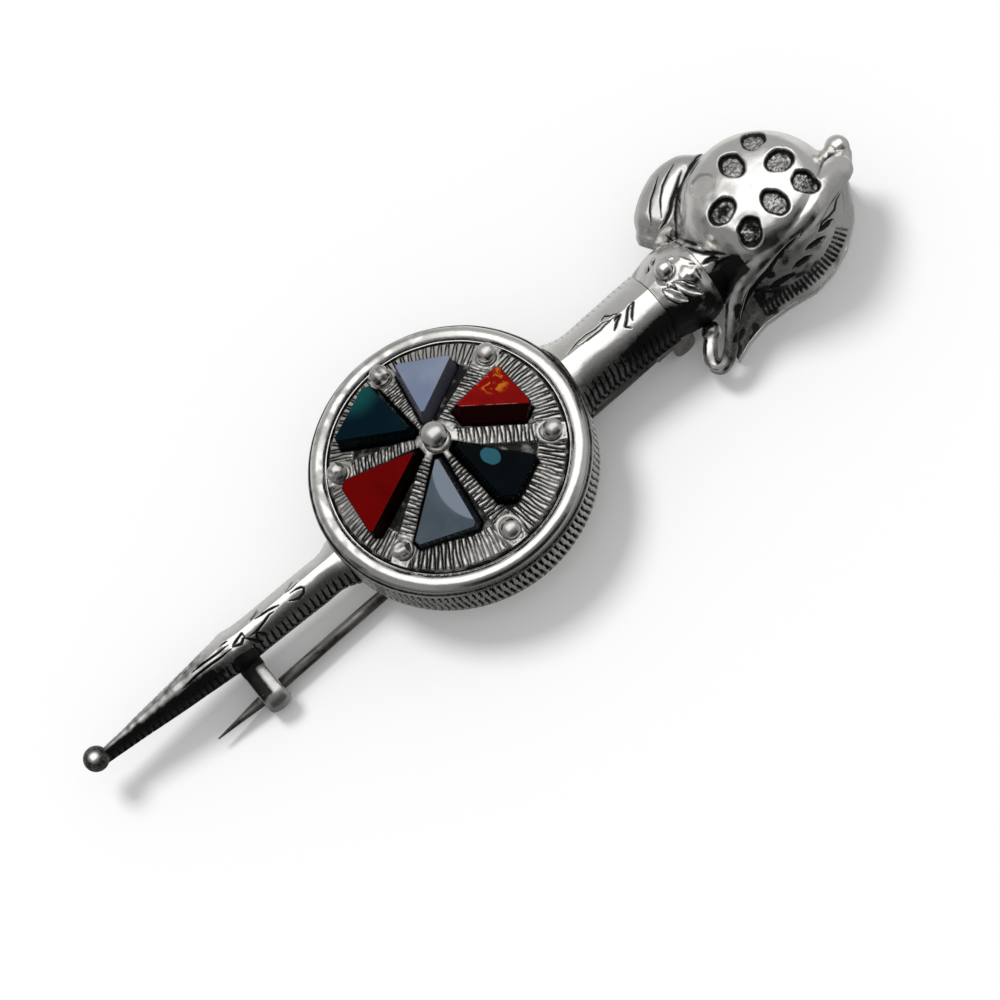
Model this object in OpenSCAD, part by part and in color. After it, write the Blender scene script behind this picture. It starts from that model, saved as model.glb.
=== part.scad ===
// Kilt pin in silver and agate: a basket-hilted sword in its sheath, with a round shield on it.
// Millimetres. X runs from the sheath's tip to the pommel, Z is up from the surface that the
// pin lies on, and the origin is on that surface under the middle of the length.

/* [Whole pin] */
// Shield centre to the end of the sheath's tip ball
tip_reach = 36.4; // [33:0.1:44]
// Shield centre to the end of the pommel
pommel_reach = 39.7; // [39:0.1:44]
// Height of the flat backs of the sheath and the shield above the surface
back_z = 2.7; // [2.6:0.05:3.2]
// Hairline joint between pieces that sit against each other
joint_gap = 0.05; // [0.03:0.01:0.08]

/* [Shield case] */
// Radius of the nicked side wall
case_r = 11.25; // [10.9:0.05:12]
// Height of the side wall, from the back to its shoulder
wall_h = 3.2; // [2.8:0.05:3.4]
// Thickness of the side wall
wall_t = 0.9; // [0.6:0.05:1.2]
// Thickness of the back sheet
back_t = 0.55; // [0.4:0.05:0.8]
// How far the bezel's ridge lies inside the side wall's radius
bezel_in = 1.05; // [0.95:0.05:1.3]
// Radius of the bezel's round wire
bezel_wire = 0.72; // [0.6:0.02:0.8]
// Height of the bezel's ridge above the back
bezel_h = 4.2; // [4:0.05:4.6]
// Width of the ledge that carries the face
ledge_w = 0.9; // [0.6:0.05:1.2]
// Thickness of the ledge
ledge_t = 0.6; // [0.4:0.05:0.8]

/* [Shield face] */
// Slope of the face, which rises to the boss
face_slope = 20; // [14:0.5:22]
// Thickness of the face
face_t = 1.3; // [1.1:0.05:1.5]
// How far the face's rim lies below the bezel's ridge
face_drop = 0.4; // [0.3:0.05:0.6]
// Width of each raised spoke
spoke_w = 1.6; // [1.2:0.05:1.8]
// How far the spokes stand above the face
spoke_h = 0.3; // [0.15:0.05:0.4]
// Radius of the circle of pellets, as a share of the face's radius
pellet_ring_share = 0.875; // [0.86:0.005:0.88]
// Radius of each pellet
pellet_r = 0.8; // [0.6:0.05:0.85]
// Radius of the flat collar under each pellet
pellet_collar_r = 0.95; // [0.85:0.05:0.95]
// Radius of the boss's ball
boss_r = 1.05; // [0.8:0.05:1.2]
// Radius of the hub under the boss
hub_r = 1.5; // [1.3:0.05:1.6]

/* [Stones] */
// Shield centre to the middle of each stone's seat, as a share of the face's radius
stone_mid_share = 0.477; // [0.47:0.001:0.49]
// Length that the table of outlines takes its shares of, as a share of the face's radius
stone_l_share = 0.657; // [0.6:0.001:0.66]
// Width that the table of outlines takes its shares of, as a share of the face's radius
stone_w_share = 0.562; // [0.52:0.001:0.57]
// Width of the blunt inner end of a stone's table
stone_nose = 0.3; // [0.2:0.05:0.4]
// Cut at the outer corners of a stone's table
stone_corner = 0.3; // [0.2:0.05:0.4]
// How far the tables stand above the face
stone_proud = 1.2; // [1:0.05:1.8]
// Height of the sloping crown facets
crown_h = 1; // [0.6:0.05:1.1]
// How far the crown facets run inward
crown_in = 0.2; // [0.15:0.05:0.3]
// How far the long bevel of the flecked red stone runs inward
bevel_in = 0.9; // [0.6:0.05:1]
// Depth of the seat that a stone sits in
seat_d = 0.75; // [0.5:0.05:0.8]

/* [Sheath] */
// Width of the sheath beside the shield
sheath_w = 3.1; // [2.6:0.1:3.8]
// Height of the sheath beside the shield
sheath_h = 3; // [2.6:0.1:3.6]
// Radius of the tip ball
tip_ball_r = 1.02; // [0.8:0.02:1.2]

/* [Throat and collar] */
// Length of the throat, from the shield to the collar
throat_l = 8.7; // [8:0.1:9.2]
// Width of the throat at the collar
throat_w = 6.2; // [5.6:0.1:6.8]
// Height of the throat at the collar
throat_h = 4.5; // [4:0.1:5]
// Length of the collar
collar_l = 4.2; // [3.8:0.1:4.6]
// Width of the collar
collar_w = 7; // [6.6:0.1:7.4]
// Height of the collar
collar_h = 5.1; // [4.7:0.1:5.5]
// Radius of the stud on the collar
stud_r = 0.8; // [0.6:0.05:1]

/* [Hilt] */
// Length of the basket
basket_l = 13.4; // [12.8:0.1:13.8]
// Width of the basket
basket_w = 12.8; // [12:0.1:13.4]
// Height of the basket's crown above the surface
basket_h = 10; // [9.4:0.1:10.6]
// Height of the basket's widest line
belly_z = 4; // [3.6:0.1:4.4]
// Height of the upright foot round the basket
base_h = 1; // [0.8:0.1:1.4]
// How far the basket's middle lies to the scroll's side
basket_shift = 0.5; // [0.3:0.1:0.7]
// Long radius of each oval pit in the basket
pit_l = 1.15; // [0.9:0.05:1.3]
// Short radius of each oval pit
pit_w = 0.85; // [0.7:0.05:1]
// Depth of the pits
pit_d = 0.45; // [0.3:0.05:0.6]
// Thickest radius of the knuckle bow
bow_r = 1.3; // [1.1:0.05:1.4]
// Thickest radius of the side scroll
scroll_r = 1.15; // [0.9:0.05:1.3]
// Radius of the pommel
pommel_r = 1; // [0.8:0.05:1.2]
// Height of the pommel's middle
pommel_z = 5.7; // [5.3:0.1:6.1]
// Thickness of the hilt's back sheet
hilt_back_t = 0.6; // [0.4:0.05:0.8]

/* [Pin and hinge] */
// Radius of the pin's stem
pin_r = 0.48; // [0.44:0.02:0.6]
// Length of the pin beyond the middle of the catch
point_reach = 5.5; // [4.8:0.1:7]
// Length of the pin's taper to its point
pin_point_l = 4.6; // [3:0.1:4.7]
// Radius of the blunted point
pin_point_r = 0.06; // [0.04:0.01:0.1]
// Angle between the pin and the length of the sword
pin_skew = 2.5; // [2:0.1:2.8]
// How far the hinge's rivet lies beyond the throat's end
hinge_out = 0.1; // [0:0.05:0.3]
// How far the hinge lies to the guard's side
hinge_y = 1.9; // [1.8:0.1:2.2]
// Radius of the hinge's knuckles
knuckle_r = 1; // [0.9:0.02:1.05]
// Width of the knuckle on the pin
pin_knuckle_w = 1.04; // [0.9:0.02:1.2]
// Width of each of the two outer knuckles
outer_knuckle_w = 0.55; // [0.45:0.05:0.7]
// Radius of the hinge's rivet
rivet_r = 0.3; // [0.25:0.01:0.34]
// Running clearance round the rivet, as a radius
rivet_clear = 0.04; // [0.02:0.01:0.06]
// Hairline round the rivet in the outer knuckles, as a radius
rivet_seat = 0.01; // [0.01:0.01:0.03]
// Side play between the knuckles
knuckle_play = 0.08; // [0.05:0.01:0.12]
// Thickness of the hinge's plate
plate_t = 0.5; // [0.4:0.05:0.6]
// Length of the hinge's plate
plate_l = 3.6; // [3:0.1:4.2]

/* [Catch] */
// Place of the catch, as a share of the sheath's length from the shield
catch_share = 0.437; // [0.4:0.001:0.46]
// Width of the catch's strip
catch_w = 2; // [1.6:0.1:2.4]
// Thickness of the catch's strip
catch_t = 0.5; // [0.4:0.02:0.56]
// How far the hook's middle lies outside the pin
hook_offset = 0.28; // [0.2:0.02:0.32]
// How far the strip reaches past the middle of the sheath
catch_root = 1; // [0.6:0.05:1.1]
// Angle at which the hook's lip ends, short of closing under the pin
lip_angle = 65; // [60:1:68]

/* [Hidden] */
$fn = 48;

// The shield's centre, placed so that both ends of the sword are equally far from the origin
shield_x = (tip_reach - pommel_reach) / 2;
silver = [0.72, 0.72, 0.70];
dark_silver = [0.5, 0.5, 0.49];

// Face: its radius, the height of its rim, and its surface at a radius
bezel_r = case_r - bezel_in;
face_r = bezel_r - bezel_wire - joint_gap;
pellet_ring_r = pellet_ring_share * face_r;
face_rim_z = back_z + bezel_h - face_drop;
ledge_z = face_rim_z - face_t - joint_gap;
function face_z(r) = face_rim_z + (face_r - r) * tan(face_slope);
shoulder_share = 0.8;
ball_share = 0.8;
spoke_count = 6;
spoke_step = 360 / spoke_count;
first_spoke = spoke_step / 2;

// Stones: the middle of their seats, and the sizes that their outlines are shares of
stone_mid_r = stone_mid_share * face_r;
stone_l = stone_l_share * face_r;
stone_w = stone_w_share * face_r;

// Stones: shares of stone_l and stone_w for the inner end and for the left and the right outer
// corner of each table, then the cut at its right corner as a share of stone_corner
TABLES = [[-0.35, 0.2, 0.42, 0.46, 0.44, -0.37, 1], [-0.44, 0.14, 0.47, 0.54, 0.43, -0.33, 1],
    [-0.42, 0, 0.62, 0.4, 0.52, -0.6, 2], [-0.47, -0.03, 0.6, 0.37, 0.5, -0.6, 2],
    [-0.52, -0.02, 0.37, 0.38, 0.47, -0.59, 1.6], [-0.52, -0.02, 0.43, 0.31, 0.38, -0.55, 3.5]];

// Sheath, throat and collar as sections: share of length, of half width and of height
SHEATH = [[0, 1.35, 1.04], [0.045, 1.03, 1], [0.12, 1, 0.99], [0.39, 0.95, 0.93],
    [0.42, 0.98, 0.96], [0.45, 1.04, 1], [0.49, 0.97, 0.93], [0.66, 0.75, 0.77],
    [0.85, 0.47, 0.58], [0.96, 0.32, 0.5], [0.99, 0.29, 0.47]];
THROAT = [[0, 1.14, 0.98], [0.07, 0.93, 0.93], [0.2, 0.91, 0.93], [0.6, 0.95, 0.96], [1, 1, 1]];
COLLAR = [[0, 0.82, 0.9], [0.12, 0.87, 0.94], [0.35, 0.95, 0.99], [0.6, 1, 1],
    [0.8, 0.98, 0.98], [1, 0.9, 0.92]];
side_share = 0.55;
top_steps = 12;

sheath_l = tip_reach - case_r - tip_ball_r;
throat_end = case_r + joint_gap + throat_l;
collar_start = throat_end + joint_gap;
collar_end = collar_start + collar_l;
stud_share = 0.42;
stud_sink = 0.35;

// Pommel's neck, as shares of the pommel's radius and of the basket's half length
neck_drop = 0.3;
neck_share = 0.6;

// Basket: its middle, half axes, and the directions of its pits (azimuth, elevation)
basket_x = collar_end + joint_gap + basket_l / 2;
basket_half = [basket_l / 2, basket_w / 2, basket_h - belly_z];
PITS = [[95, 72], [-4, 66], [-42, 53], [-84, 66], [-172, 63], [-129, 54], [49, 57], [137, 56]];
pit_sides = 14;
base_share = 0.9;
neck_w_share = 0.86;
neck_h_share = 0.9;

// Knuckle bow: shares of the basket's half length, half width and height, and of bow_r
BOW = [[0.97, -0.26, 0.60, 0.9], [0.56, -0.42, 0.73, 1], [0.19, -0.58, 0.76, 0.98],
    [-0.24, -0.58, 0.72, 0.85], [-0.64, -0.58, 0.60, 0.68], [-0.85, -0.62, 0.50, 0.58],
    [-1.07, -0.78, 0.40, 0.48], [-1.2, -0.9, 0.33, 0.44], [-1.34, -1.02, 0.26, 0.44],
    [-1.49, -1.05, 0.20, 0.46], [-1.52, -0.87, 0.18, 0.48], [-1.31, -0.62, 0.22, 0.46]];

// Leaf guard: share of half length; of half width for its foot, its edge, its upper line and
// its root; and of height for its edge and its upper line
GUARD = [[1.15, -0.12, -0.1, 0.02, 0.08, 0.46, 0.52], [0.92, -0.5, -0.44, -0.2, 0, 0.36, 0.56],
    [0.58, -0.78, -0.68, -0.42, 0, 0.31, 0.6], [0.28, -0.91, -0.83, -0.55, 0, 0.3, 0.6],
    [-0.03, -0.96, -0.89, -0.58, 0, 0.3, 0.57], [-0.39, -0.9, -0.85, -0.58, 0, 0.3, 0.52],
    [-0.73, -0.88, -0.81, -0.62, -0.2, 0.28, 0.44], [-1.02, -0.94, -0.87, -0.76, -0.6, 0.22, 0.31],
    [-1.26, -1.04, -0.99, -0.94, -0.84, 0.15, 0.21]];

// Side scroll: shares of the basket's half length, half width and height, of scroll_r, and its
// reach inward in scroll_r
SCROLL = [[-1.1, 0.82, 0.42, 0.6, 0.9], [-0.98, 0.94, 0.44, 0.85, 1.7], [-0.76, 1.08, 0.45, 1, 3],
    [-0.54, 1.18, 0.46, 1, 3], [-0.33, 1.2, 0.46, 0.8, 2.4], [-0.15, 1.12, 0.46, 0.5, 1.5]];
ring_steps = 10;

// Pin: its place and the hinge's rise above the surface
pin_z = knuckle_r + joint_gap;
knuckle_span = pin_knuckle_w + 2 * knuckle_play + 2 * outer_knuckle_w;
hinge_x = throat_end + hinge_out;
catch_x = case_r + catch_share * sheath_l;
pin_l = (hinge_x + catch_x) / cos(pin_skew) + point_reach;

// Catch hook: its top meets the sheath's back and its lip reaches down to the surface
hook_r = (back_z - joint_gap) / (1 + sin(lip_angle));
hook_z = back_z - joint_gap - hook_r;

// Moves a shape drawn round the shield's centre to its place
module at_shield() {
    translate([shield_x, 0, 0]) children();
}

// A solid skin over rings of points; the rings run in order and turn right-handed about it
module skin(rings) {
    n = len(rings[0]);
    last = len(rings) - 1;
    points = [for (ring = rings) for (p = ring) p];
    sides = [for (i = [0:last - 1]) for (j = [0:n - 1])
        let (a = i * n + j, b = i * n + (j + 1) % n)
        each [[a, b + n, b], [a, a + n, b + n]]];
    caps = [[for (j = [0:n - 1]) j], [for (j = [n - 1:-1:0]) last * n + j]];
    polyhedron(points, concat(sides, caps));
}

// A D-shaped ring across X: flat back, upright sides and an oval top
function d_ring(x, half_w, z, h) = let (side = h * side_share) concat(
    [[x, half_w, z]],
    [for (i = [0:top_steps]) let (t = 180 * i / top_steps)
        [x, half_w * cos(t), z + side + (h - side) * sin(t)]],
    [[x, -half_w, z]]);

// Rings for a table of sections between two places along X
function d_rings(table, from, length, half_w, h) =
    [for (s = table) d_ring(from + s[0] * length, s[1] * half_w, back_z, s[2] * h)];

// Lower sheath and its tip ball, hollowed to sit against the shield's wall
module sheath() {
    color(silver) at_shield() difference() {
        union() {
            rings = d_rings(SHEATH, -case_r, -sheath_l, sheath_w / 2, sheath_h);
            inner = d_ring(-case_r + wall_t, SHEATH[0][1] * sheath_w / 2, back_z, sheath_h);
            skin(concat([for (i = [len(rings) - 1:-1:0]) rings[i]], [inner]));
            translate([-tip_reach + tip_ball_r, 0, back_z + tip_ball_r]) sphere(tip_ball_r);
        }
        cylinder(r = case_r + joint_gap, h = 3 * basket_h, center = true);
    }
}

// Back sheet, side wall, ledge and bezel, soldered into one case
module shield_case() {
    bezel_z = back_z + bezel_h - bezel_wire;
    inner_r = face_r + joint_gap + wall_t / 8;
    inside = case_r - wall_t;
    color(silver) at_shield() {
        rotate_extrude() polygon([[0, back_z], [case_r, back_z], [case_r, back_z + wall_h],
            [bezel_r + bezel_wire * shoulder_share, bezel_z], [inner_r, bezel_z], [inner_r, ledge_z],
            [inner_r - ledge_w, ledge_z], [inner_r - ledge_w, ledge_z - ledge_t],
            [inside, ledge_z - ledge_t], [inside, back_z + back_t], [0, back_z + back_t]]);
        translate([0, 0, bezel_z]) rotate_extrude() translate([bezel_r, 0]) circle(bezel_wire);
    }
}

// Turns a shape to a direction round the shield and tilts it to the face at a slope distance
module on_slope(angle, along) {
    rotate([0, 0, angle])
        translate([along, 0, face_z(along)])
            rotate([0, face_slope, 0]) children();
}

// Direction from one point to another, and the outward side of a direction round an outline
function toward(a, b) = (b - a) / norm(b - a);
function outward(d) = [d.y, -d.x];

// Outline of a stone's table: blunt inner end, straight flanks and two cut outer corners
function stone_outline(i) = let (
        s = TABLES[i],
        inner = [s[0] * stone_l, s[1] * stone_w],
        left = [s[2] * stone_l, s[3] * stone_w],
        right = [s[4] * stone_l, s[5] * stone_w],
        half_nose = [0, stone_nose / 2],
        cut = stone_corner * s[6])
    [inner - half_nose, right + toward(right, inner - half_nose) * cut,
        right + toward(right, left) * cut, left + toward(left, right) * stone_corner,
        left + toward(left, inner + half_nose) * stone_corner, inner + half_nose];

// The outline of a stone moved outward to its girdle and by a further margin; the right flank of
// the first stone runs out to the foot of its long bevel
function girdle_outline(i, margin) = let (outline = stone_outline(i), n = len(outline),
    moves = [for (k = [0:n - 1]) margin + (i + k == 0 ? bevel_in : crown_in)])
    [for (k = [0:n - 1]) let (
        last = (k + n - 1) % n,
        before = outward(toward(outline[last], outline[k])),
        after = outward(toward(outline[k], outline[(k + 1) % n])),
        turn = before * after)
        outline[k] + (before * (moves[last] - moves[k] * turn)
            + after * (moves[k] - moves[last] * turn)) / (1 - turn * turn)];

// An outline at a height
function raised(outline, z) = [for (p = outline) [p.x, p.y, z]];

// A wedge stone: upright girdle, sloping crown facets and a flat table
module wedge_stone(i) {
    at_shield() on_slope(i * spoke_step, stone_mid_r)
        skin([raised(girdle_outline(i, 0), joint_gap - seat_d),
            raised(girdle_outline(i, 0), stone_proud - crown_h),
            raised(stone_outline(i), stone_proud)]);
}

// A raised bar of the face from the hub to a pellet
module spoke() {
    run = pellet_ring_r / cos(face_slope);
    translate([0, 0, face_z(0)]) rotate([0, face_slope, 0])
        translate([0, -spoke_w / 2, -face_t / 2]) cube([run, spoke_w, face_t / 2 + spoke_h]);
}

// A pellet on its flat collar
module pellet() {
    translate([0, 0, -face_t / 2])
        cylinder(r = pellet_collar_r, h = face_t / 2 + spoke_h + joint_gap);
    translate([0, 0, spoke_h + pellet_r * ball_share]) sphere(pellet_r);
}

// Sloping face with its spokes, pellets, hub and boss, and a seat for each stone
module shield_face() {
    color(dark_silver) at_shield() difference() {
        union() {
            rotate_extrude() polygon([[0, face_z(0)], [face_r, face_rim_z],
                [face_r, face_rim_z - face_t], [0, face_z(0) - face_t]]);
            for (i = [0:spoke_count - 1]) {
                rotate([0, 0, first_spoke + i * spoke_step]) spoke();
                on_slope(first_spoke + i * spoke_step, pellet_ring_r) pellet();
            }
            translate([0, 0, face_z(0) - face_t]) cylinder(r = hub_r, h = face_t + spoke_h);
            translate([0, 0, face_z(0) + spoke_h + boss_r * ball_share]) sphere(boss_r);
        }
        for (i = [0:spoke_count - 1]) {
            on_slope(i * spoke_step, stone_mid_r) translate([0, 0, -seat_d])
                linear_extrude(seat_d + spoke_h + 2 * pellet_r)
                    polygon(girdle_outline(i, joint_gap));
        }
    }
}

module stone_flecked_red() { color("firebrick") wedge_stone(0); }
module stone_grey_far() { color("lightslategray") wedge_stone(1); }
module stone_teal() { color([0.02, 0.18, 0.2]) wedge_stone(2); }
module stone_deep_red() { color("darkred") wedge_stone(3); }
module stone_grey_near() { color("lightslategray") wedge_stone(4); }
module stone_dark_green() { color([0.01, 0.1, 0.12]) wedge_stone(5); }

// Upper part of the sheath, between the shield and the collar
module throat() {
    color(silver) at_shield() difference() {
        rings = d_rings(THROAT, case_r, throat_end - case_r, throat_w / 2, throat_h);
        inner = d_ring(case_r - wall_t, THROAT[0][1] * throat_w / 2, back_z, throat_h);
        skin(concat([inner], rings));
        cylinder(r = case_r + joint_gap, h = 3 * basket_h, center = true);
    }
}

// Swollen collar with its round stud and two leaves
module collar() {
    stud = [collar_start + stud_share * collar_l, 0, back_z + collar_h];
    color(silver) at_shield() {
        skin(d_rings(COLLAR, collar_start, collar_l, collar_w / 2, collar_h));
        translate(stud) translate([0, 0, stud_r * stud_sink]) sphere(stud_r);
    }
}

// A place in the basket's shares of half length, half width and height
function in_basket(u, v, q) =
    [basket_x + u * basket_half.x, v * basket_half.y, q * basket_h];

// Domed basket with its oval pits, down to the back sheet
module basket() {
    difference() {
        hull() {
            translate([basket_x, basket_shift, belly_z])
                scale(basket_half) intersection() {
                    sphere(1, $fn = 36);
                    translate([-1, -1, 0]) cube([2, 2, 1]);
                }
            translate([basket_x, basket_shift, hilt_back_t + joint_gap])
                scale([basket_half.x * base_share, basket_half.y * base_share, 1])
                    cylinder(r = 1, h = base_h, $fn = 36);
        }
        for (p = PITS) {
            n = [cos(p[1]) * cos(p[0]), cos(p[1]) * sin(p[0]), sin(p[1])];
            spot = [n.x * basket_half.x, n.y * basket_half.y, n.z * basket_half.z];
            translate([basket_x, basket_shift, belly_z] + spot * (1 - pit_d / basket_half.z))
                rotate([0, 90 - p[1], p[0]]) linear_extrude(3 * pit_d)
                    polygon([for (i = [0:pit_sides - 1]) let (t = 360 * i / pit_sides)
                        [pit_l * cos(t), pit_w * sin(t)]]);
        }
    }
}

// An oval ring across a path: its place, its heading, and its reach outward and inward
function path_ring(at, heading, r_out, r_in, r_up) =
    let (d = heading / norm(heading), side_raw = cross([0, 0, 1], d),
        side = side_raw / norm(side_raw), up = cross(d, side))
    [for (i = [0:ring_steps - 1]) let (t = 360 * i / ring_steps)
        at + side * cos(t) * (cos(t) > 0 ? r_in : r_out) + up * sin(t) * r_up];

// Heading of a path at one of its points
function heading(path, i) =
    path[min(i + 1, len(path) - 1)] - path[max(i - 1, 0)];

// Band along the guard's crest that thins to a wire and curls under at the collar
module knuckle_bow() {
    path = [for (s = BOW) in_basket(s[0], s[1], s[2])];
    skin([for (i = [0:len(path) - 1]) let (r = bow_r * BOW[i][3])
        path_ring(path[i], heading(path, i), r, r, r)]);
}

// Leaf guard outside the bow, with its nicked edge down to the back sheet
module leaf_guard() {
    foot = hilt_back_t + joint_gap;
    half = basket_half.y;
    skin([for (i = [len(GUARD) - 1:-1:0]) let (s = GUARD[i], x = basket_x + s[0] * basket_half.x)
        [[x, s[1] * half, foot], [x, s[4] * half, foot], [x, s[4] * half, s[6] * basket_h],
            [x, s[3] * half, s[6] * basket_h], [x, s[2] * half, s[5] * basket_h]]]);
}

// Scrolled leaf on the other side, whose inner edge springs from the basket
module side_scroll() {
    path = [for (s = SCROLL) in_basket(s[0], s[1], s[2])];
    skin([for (i = [0:len(path) - 1]) let (r = scroll_r * SCROLL[i][3])
        path_ring(path[i], heading(path, i), scroll_r * SCROLL[i][4], r, r)]);
}

// Round pommel on a short neck
module pommel() {
    middle = [pommel_reach - pommel_r, 0, pommel_z];
    translate(middle) sphere(pommel_r, $fn = 24);
    hull() {
        translate(middle - [pommel_r, 0, pommel_r * neck_drop])
            sphere(pommel_r * neck_share, $fn = 16);
        translate([basket_x + basket_half.x * neck_share, 0, pommel_z])
            sphere(pommel_r, $fn = 16);
    }
}

// Cast hilt: basket, bow, guard, scroll and pommel in one piece, with a neck to the collar
module hilt() {
    color(silver) at_shield() {
        basket();
        knuckle_bow();
        leaf_guard();
        side_scroll();
        pommel();
        skin([for (x = [collar_end + joint_gap, basket_x])
            d_ring(x, collar_w / 2 * neck_w_share, back_z, collar_h * neck_h_share)]);
    }
}

// Flat sheet that closes the hilt's back and rests on the surface
module hilt_back() {
    half = basket_half.y;
    curl = len(GUARD) - 1;
    rim_turn = [-150:-15:-360];
    color(silver) at_shield() linear_extrude(hilt_back_t) {
        polygon(concat(
            [for (s = GUARD) [basket_x + s[0] * basket_half.x, s[1] * half]],
            [[basket_x + GUARD[curl][0] * basket_half.x, GUARD[curl][4] * half]],
            [for (t = rim_turn) [basket_x + base_share * basket_half.x * cos(t),
                basket_shift + base_share * half * sin(t)]]));
    }
}

// Line of the pin: its hinge end at the origin, its point towards -X
module along_pin() {
    at_shield() translate([hinge_x, -hinge_y, pin_z]) rotate([0, 0, pin_skew]) children();
}

// A cylinder along the hinge's axis, centred on the pin's line
module across_pin(r, w, y = 0) {
    translate([0, y, 0]) rotate([90, 0, 0]) cylinder(r = r, h = w, center = true);
}

// Pin with its knuckle and its taper to the point
module pin() {
    straight = pin_l - pin_point_l;
    color(silver) along_pin() difference() {
        union() {
            across_pin(knuckle_r, pin_knuckle_w);
            rotate([0, -90, 0]) cylinder(r = pin_r, h = straight);
            translate([-straight, 0, 0]) rotate([0, -90, 0])
                cylinder(r1 = pin_r, r2 = pin_point_r, h = pin_point_l);
        }
        across_pin(rivet_r + rivet_clear, 2 * pin_knuckle_w);
    }
}

// Two outer knuckles on a plate under the throat
module hinge_plate() {
    reach = pin_knuckle_w / 2 + knuckle_play + outer_knuckle_w / 2;
    plate_z = back_z - joint_gap - plate_t - pin_z;
    color(silver) along_pin() difference() {
        union() {
            translate([knuckle_r - plate_l, -knuckle_span / 2, plate_z])
                cube([plate_l, knuckle_span, plate_t]);
            for (y = [-reach, reach]) {
                across_pin(knuckle_r, outer_knuckle_w, y);
                translate([-knuckle_r, y - outer_knuckle_w / 2, 0])
                    cube([2 * knuckle_r, outer_knuckle_w, plate_z + plate_t / 2]);
            }
        }
        across_pin(rivet_r + rivet_seat, 2 * knuckle_span);
    }
}

// Rivet through the three knuckles
module hinge_rivet() {
    color(silver) along_pin() across_pin(rivet_r, knuckle_span);
}

// Strip under the sheath, curled outward and down round the pin
module catch() {
    pin_y = -hinge_y - (hinge_x + catch_x) * tan(pin_skew);
    color(dark_silver) at_shield() translate([-catch_x, pin_y - hook_offset, hook_z])
        rotate([90, 0, 90]) {
            translate([0, hook_r - catch_t, -catch_w / 2])
                cube([catch_root - pin_y + hook_offset, catch_t, catch_w]);
            rotate([0, 0, 90]) rotate_extrude(angle = 90 + lip_angle)
                translate([hook_r - catch_t, -catch_w / 2]) square([catch_t, catch_w]);
        }
}

sheath();
shield_case();
shield_face();
stone_flecked_red();
stone_grey_far();
stone_teal();
stone_deep_red();
stone_grey_near();
stone_dark_green();
throat();
collar();
hilt();
hilt_back();
catch();
hinge_plate();
hinge_rivet();
pin();
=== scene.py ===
# %% [markdown]
# # A kilt pin in silver and agate
#
# A kilt pin is a heavy brooch worn at the hem of a kilt. This one is a basket-hilted sword in its
# sheath with a round shield laid over it. The CAD frame already holds every solid in its place, in
# metres, with X running from the tip to the pommel and Z up from the table. This lesson dresses
# that frame: each piece is built again as a fine mesh with its engraving, nicks and wear, and gets
# a finish made of nodes. Sizes below are in millimetres, as a maker would give them.

# %% Start from the packed frame
import math

import bmesh
import bpy
import numpy as np
from mathutils import Matrix, Vector


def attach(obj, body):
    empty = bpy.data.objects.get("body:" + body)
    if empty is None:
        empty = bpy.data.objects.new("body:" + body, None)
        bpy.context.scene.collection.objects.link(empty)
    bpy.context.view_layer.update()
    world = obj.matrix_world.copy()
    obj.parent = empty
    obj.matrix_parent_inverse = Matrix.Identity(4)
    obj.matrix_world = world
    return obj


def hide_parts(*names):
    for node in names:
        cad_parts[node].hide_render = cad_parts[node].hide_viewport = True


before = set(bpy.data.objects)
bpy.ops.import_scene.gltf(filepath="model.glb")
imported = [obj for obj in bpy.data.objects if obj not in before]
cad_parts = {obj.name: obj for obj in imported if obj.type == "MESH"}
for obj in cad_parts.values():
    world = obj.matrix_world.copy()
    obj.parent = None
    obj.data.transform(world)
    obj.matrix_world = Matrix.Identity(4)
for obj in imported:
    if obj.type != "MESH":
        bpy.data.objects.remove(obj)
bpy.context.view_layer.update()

# %% [markdown]
# ## The camera
#
# The photograph looks down on the brooch from a high, slightly turned angle, with the picture
# turned so that the sword lies on a diagonal. A long lens keeps the far end from shrinking. A
# camera could be dragged into place by eye. Its place, three angles and the lens say the same
# exactly and can be read again later, so it is worked out from those.

# %% Place the camera
MM = 0.001
CAMERA_AT = Vector((-14.350, -90.389, 198.369)) * MM
CAMERA_ELEVATION = math.radians(65.9)
CAMERA_AZIMUTH = math.radians(-9.1)
CAMERA_ROLL = math.radians(30.66)
LENS = 100
SENSOR = 36


def put_in_scene(name, data):
    """A new object that holds a mesh, a light or a camera."""
    thing = bpy.data.objects.new(name, data)
    bpy.context.scene.collection.objects.link(thing)
    return thing


back = Vector((math.sin(CAMERA_AZIMUTH) * math.cos(CAMERA_ELEVATION),
               -math.cos(CAMERA_AZIMUTH) * math.cos(CAMERA_ELEVATION),
               math.sin(CAMERA_ELEVATION)))
level = Vector((math.cos(CAMERA_AZIMUTH), math.sin(CAMERA_AZIMUTH), 0))
upright = back.cross(level)
right = level * math.cos(CAMERA_ROLL) - upright * math.sin(CAMERA_ROLL)
top = level * math.sin(CAMERA_ROLL) + upright * math.cos(CAMERA_ROLL)

lens = bpy.data.cameras.new("camera")
lens.lens = LENS
lens.sensor_width = SENSOR
lens.clip_start = 0.01
camera = put_in_scene("camera", lens)
facing = Matrix((right, top, back)).transposed()
camera.matrix_world = Matrix.Translation(CAMERA_AT) @ facing.to_4x4()
bpy.context.scene.camera = camera
bpy.context.scene.view_settings.view_transform = "Standard"
print("camera: elevation", round(math.degrees(CAMERA_ELEVATION), 1), "roll",
      round(math.degrees(CAMERA_ROLL), 2))

# %% [markdown]
# Some engraving is easiest to place where it is seen. The camera then works like a projector: it
# tells which place of the picture a point of the metal falls on, a stroke is drawn in the
# picture's 1000 by 1000 frame, and the metal under it is really cut.

# %% Find points in the picture
PICTURE = 1000
TIP_REACH = 36.4
POMMEL_REACH = 39.7
SHIELD_X = (TIP_REACH - POMMEL_REACH) / 2


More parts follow.
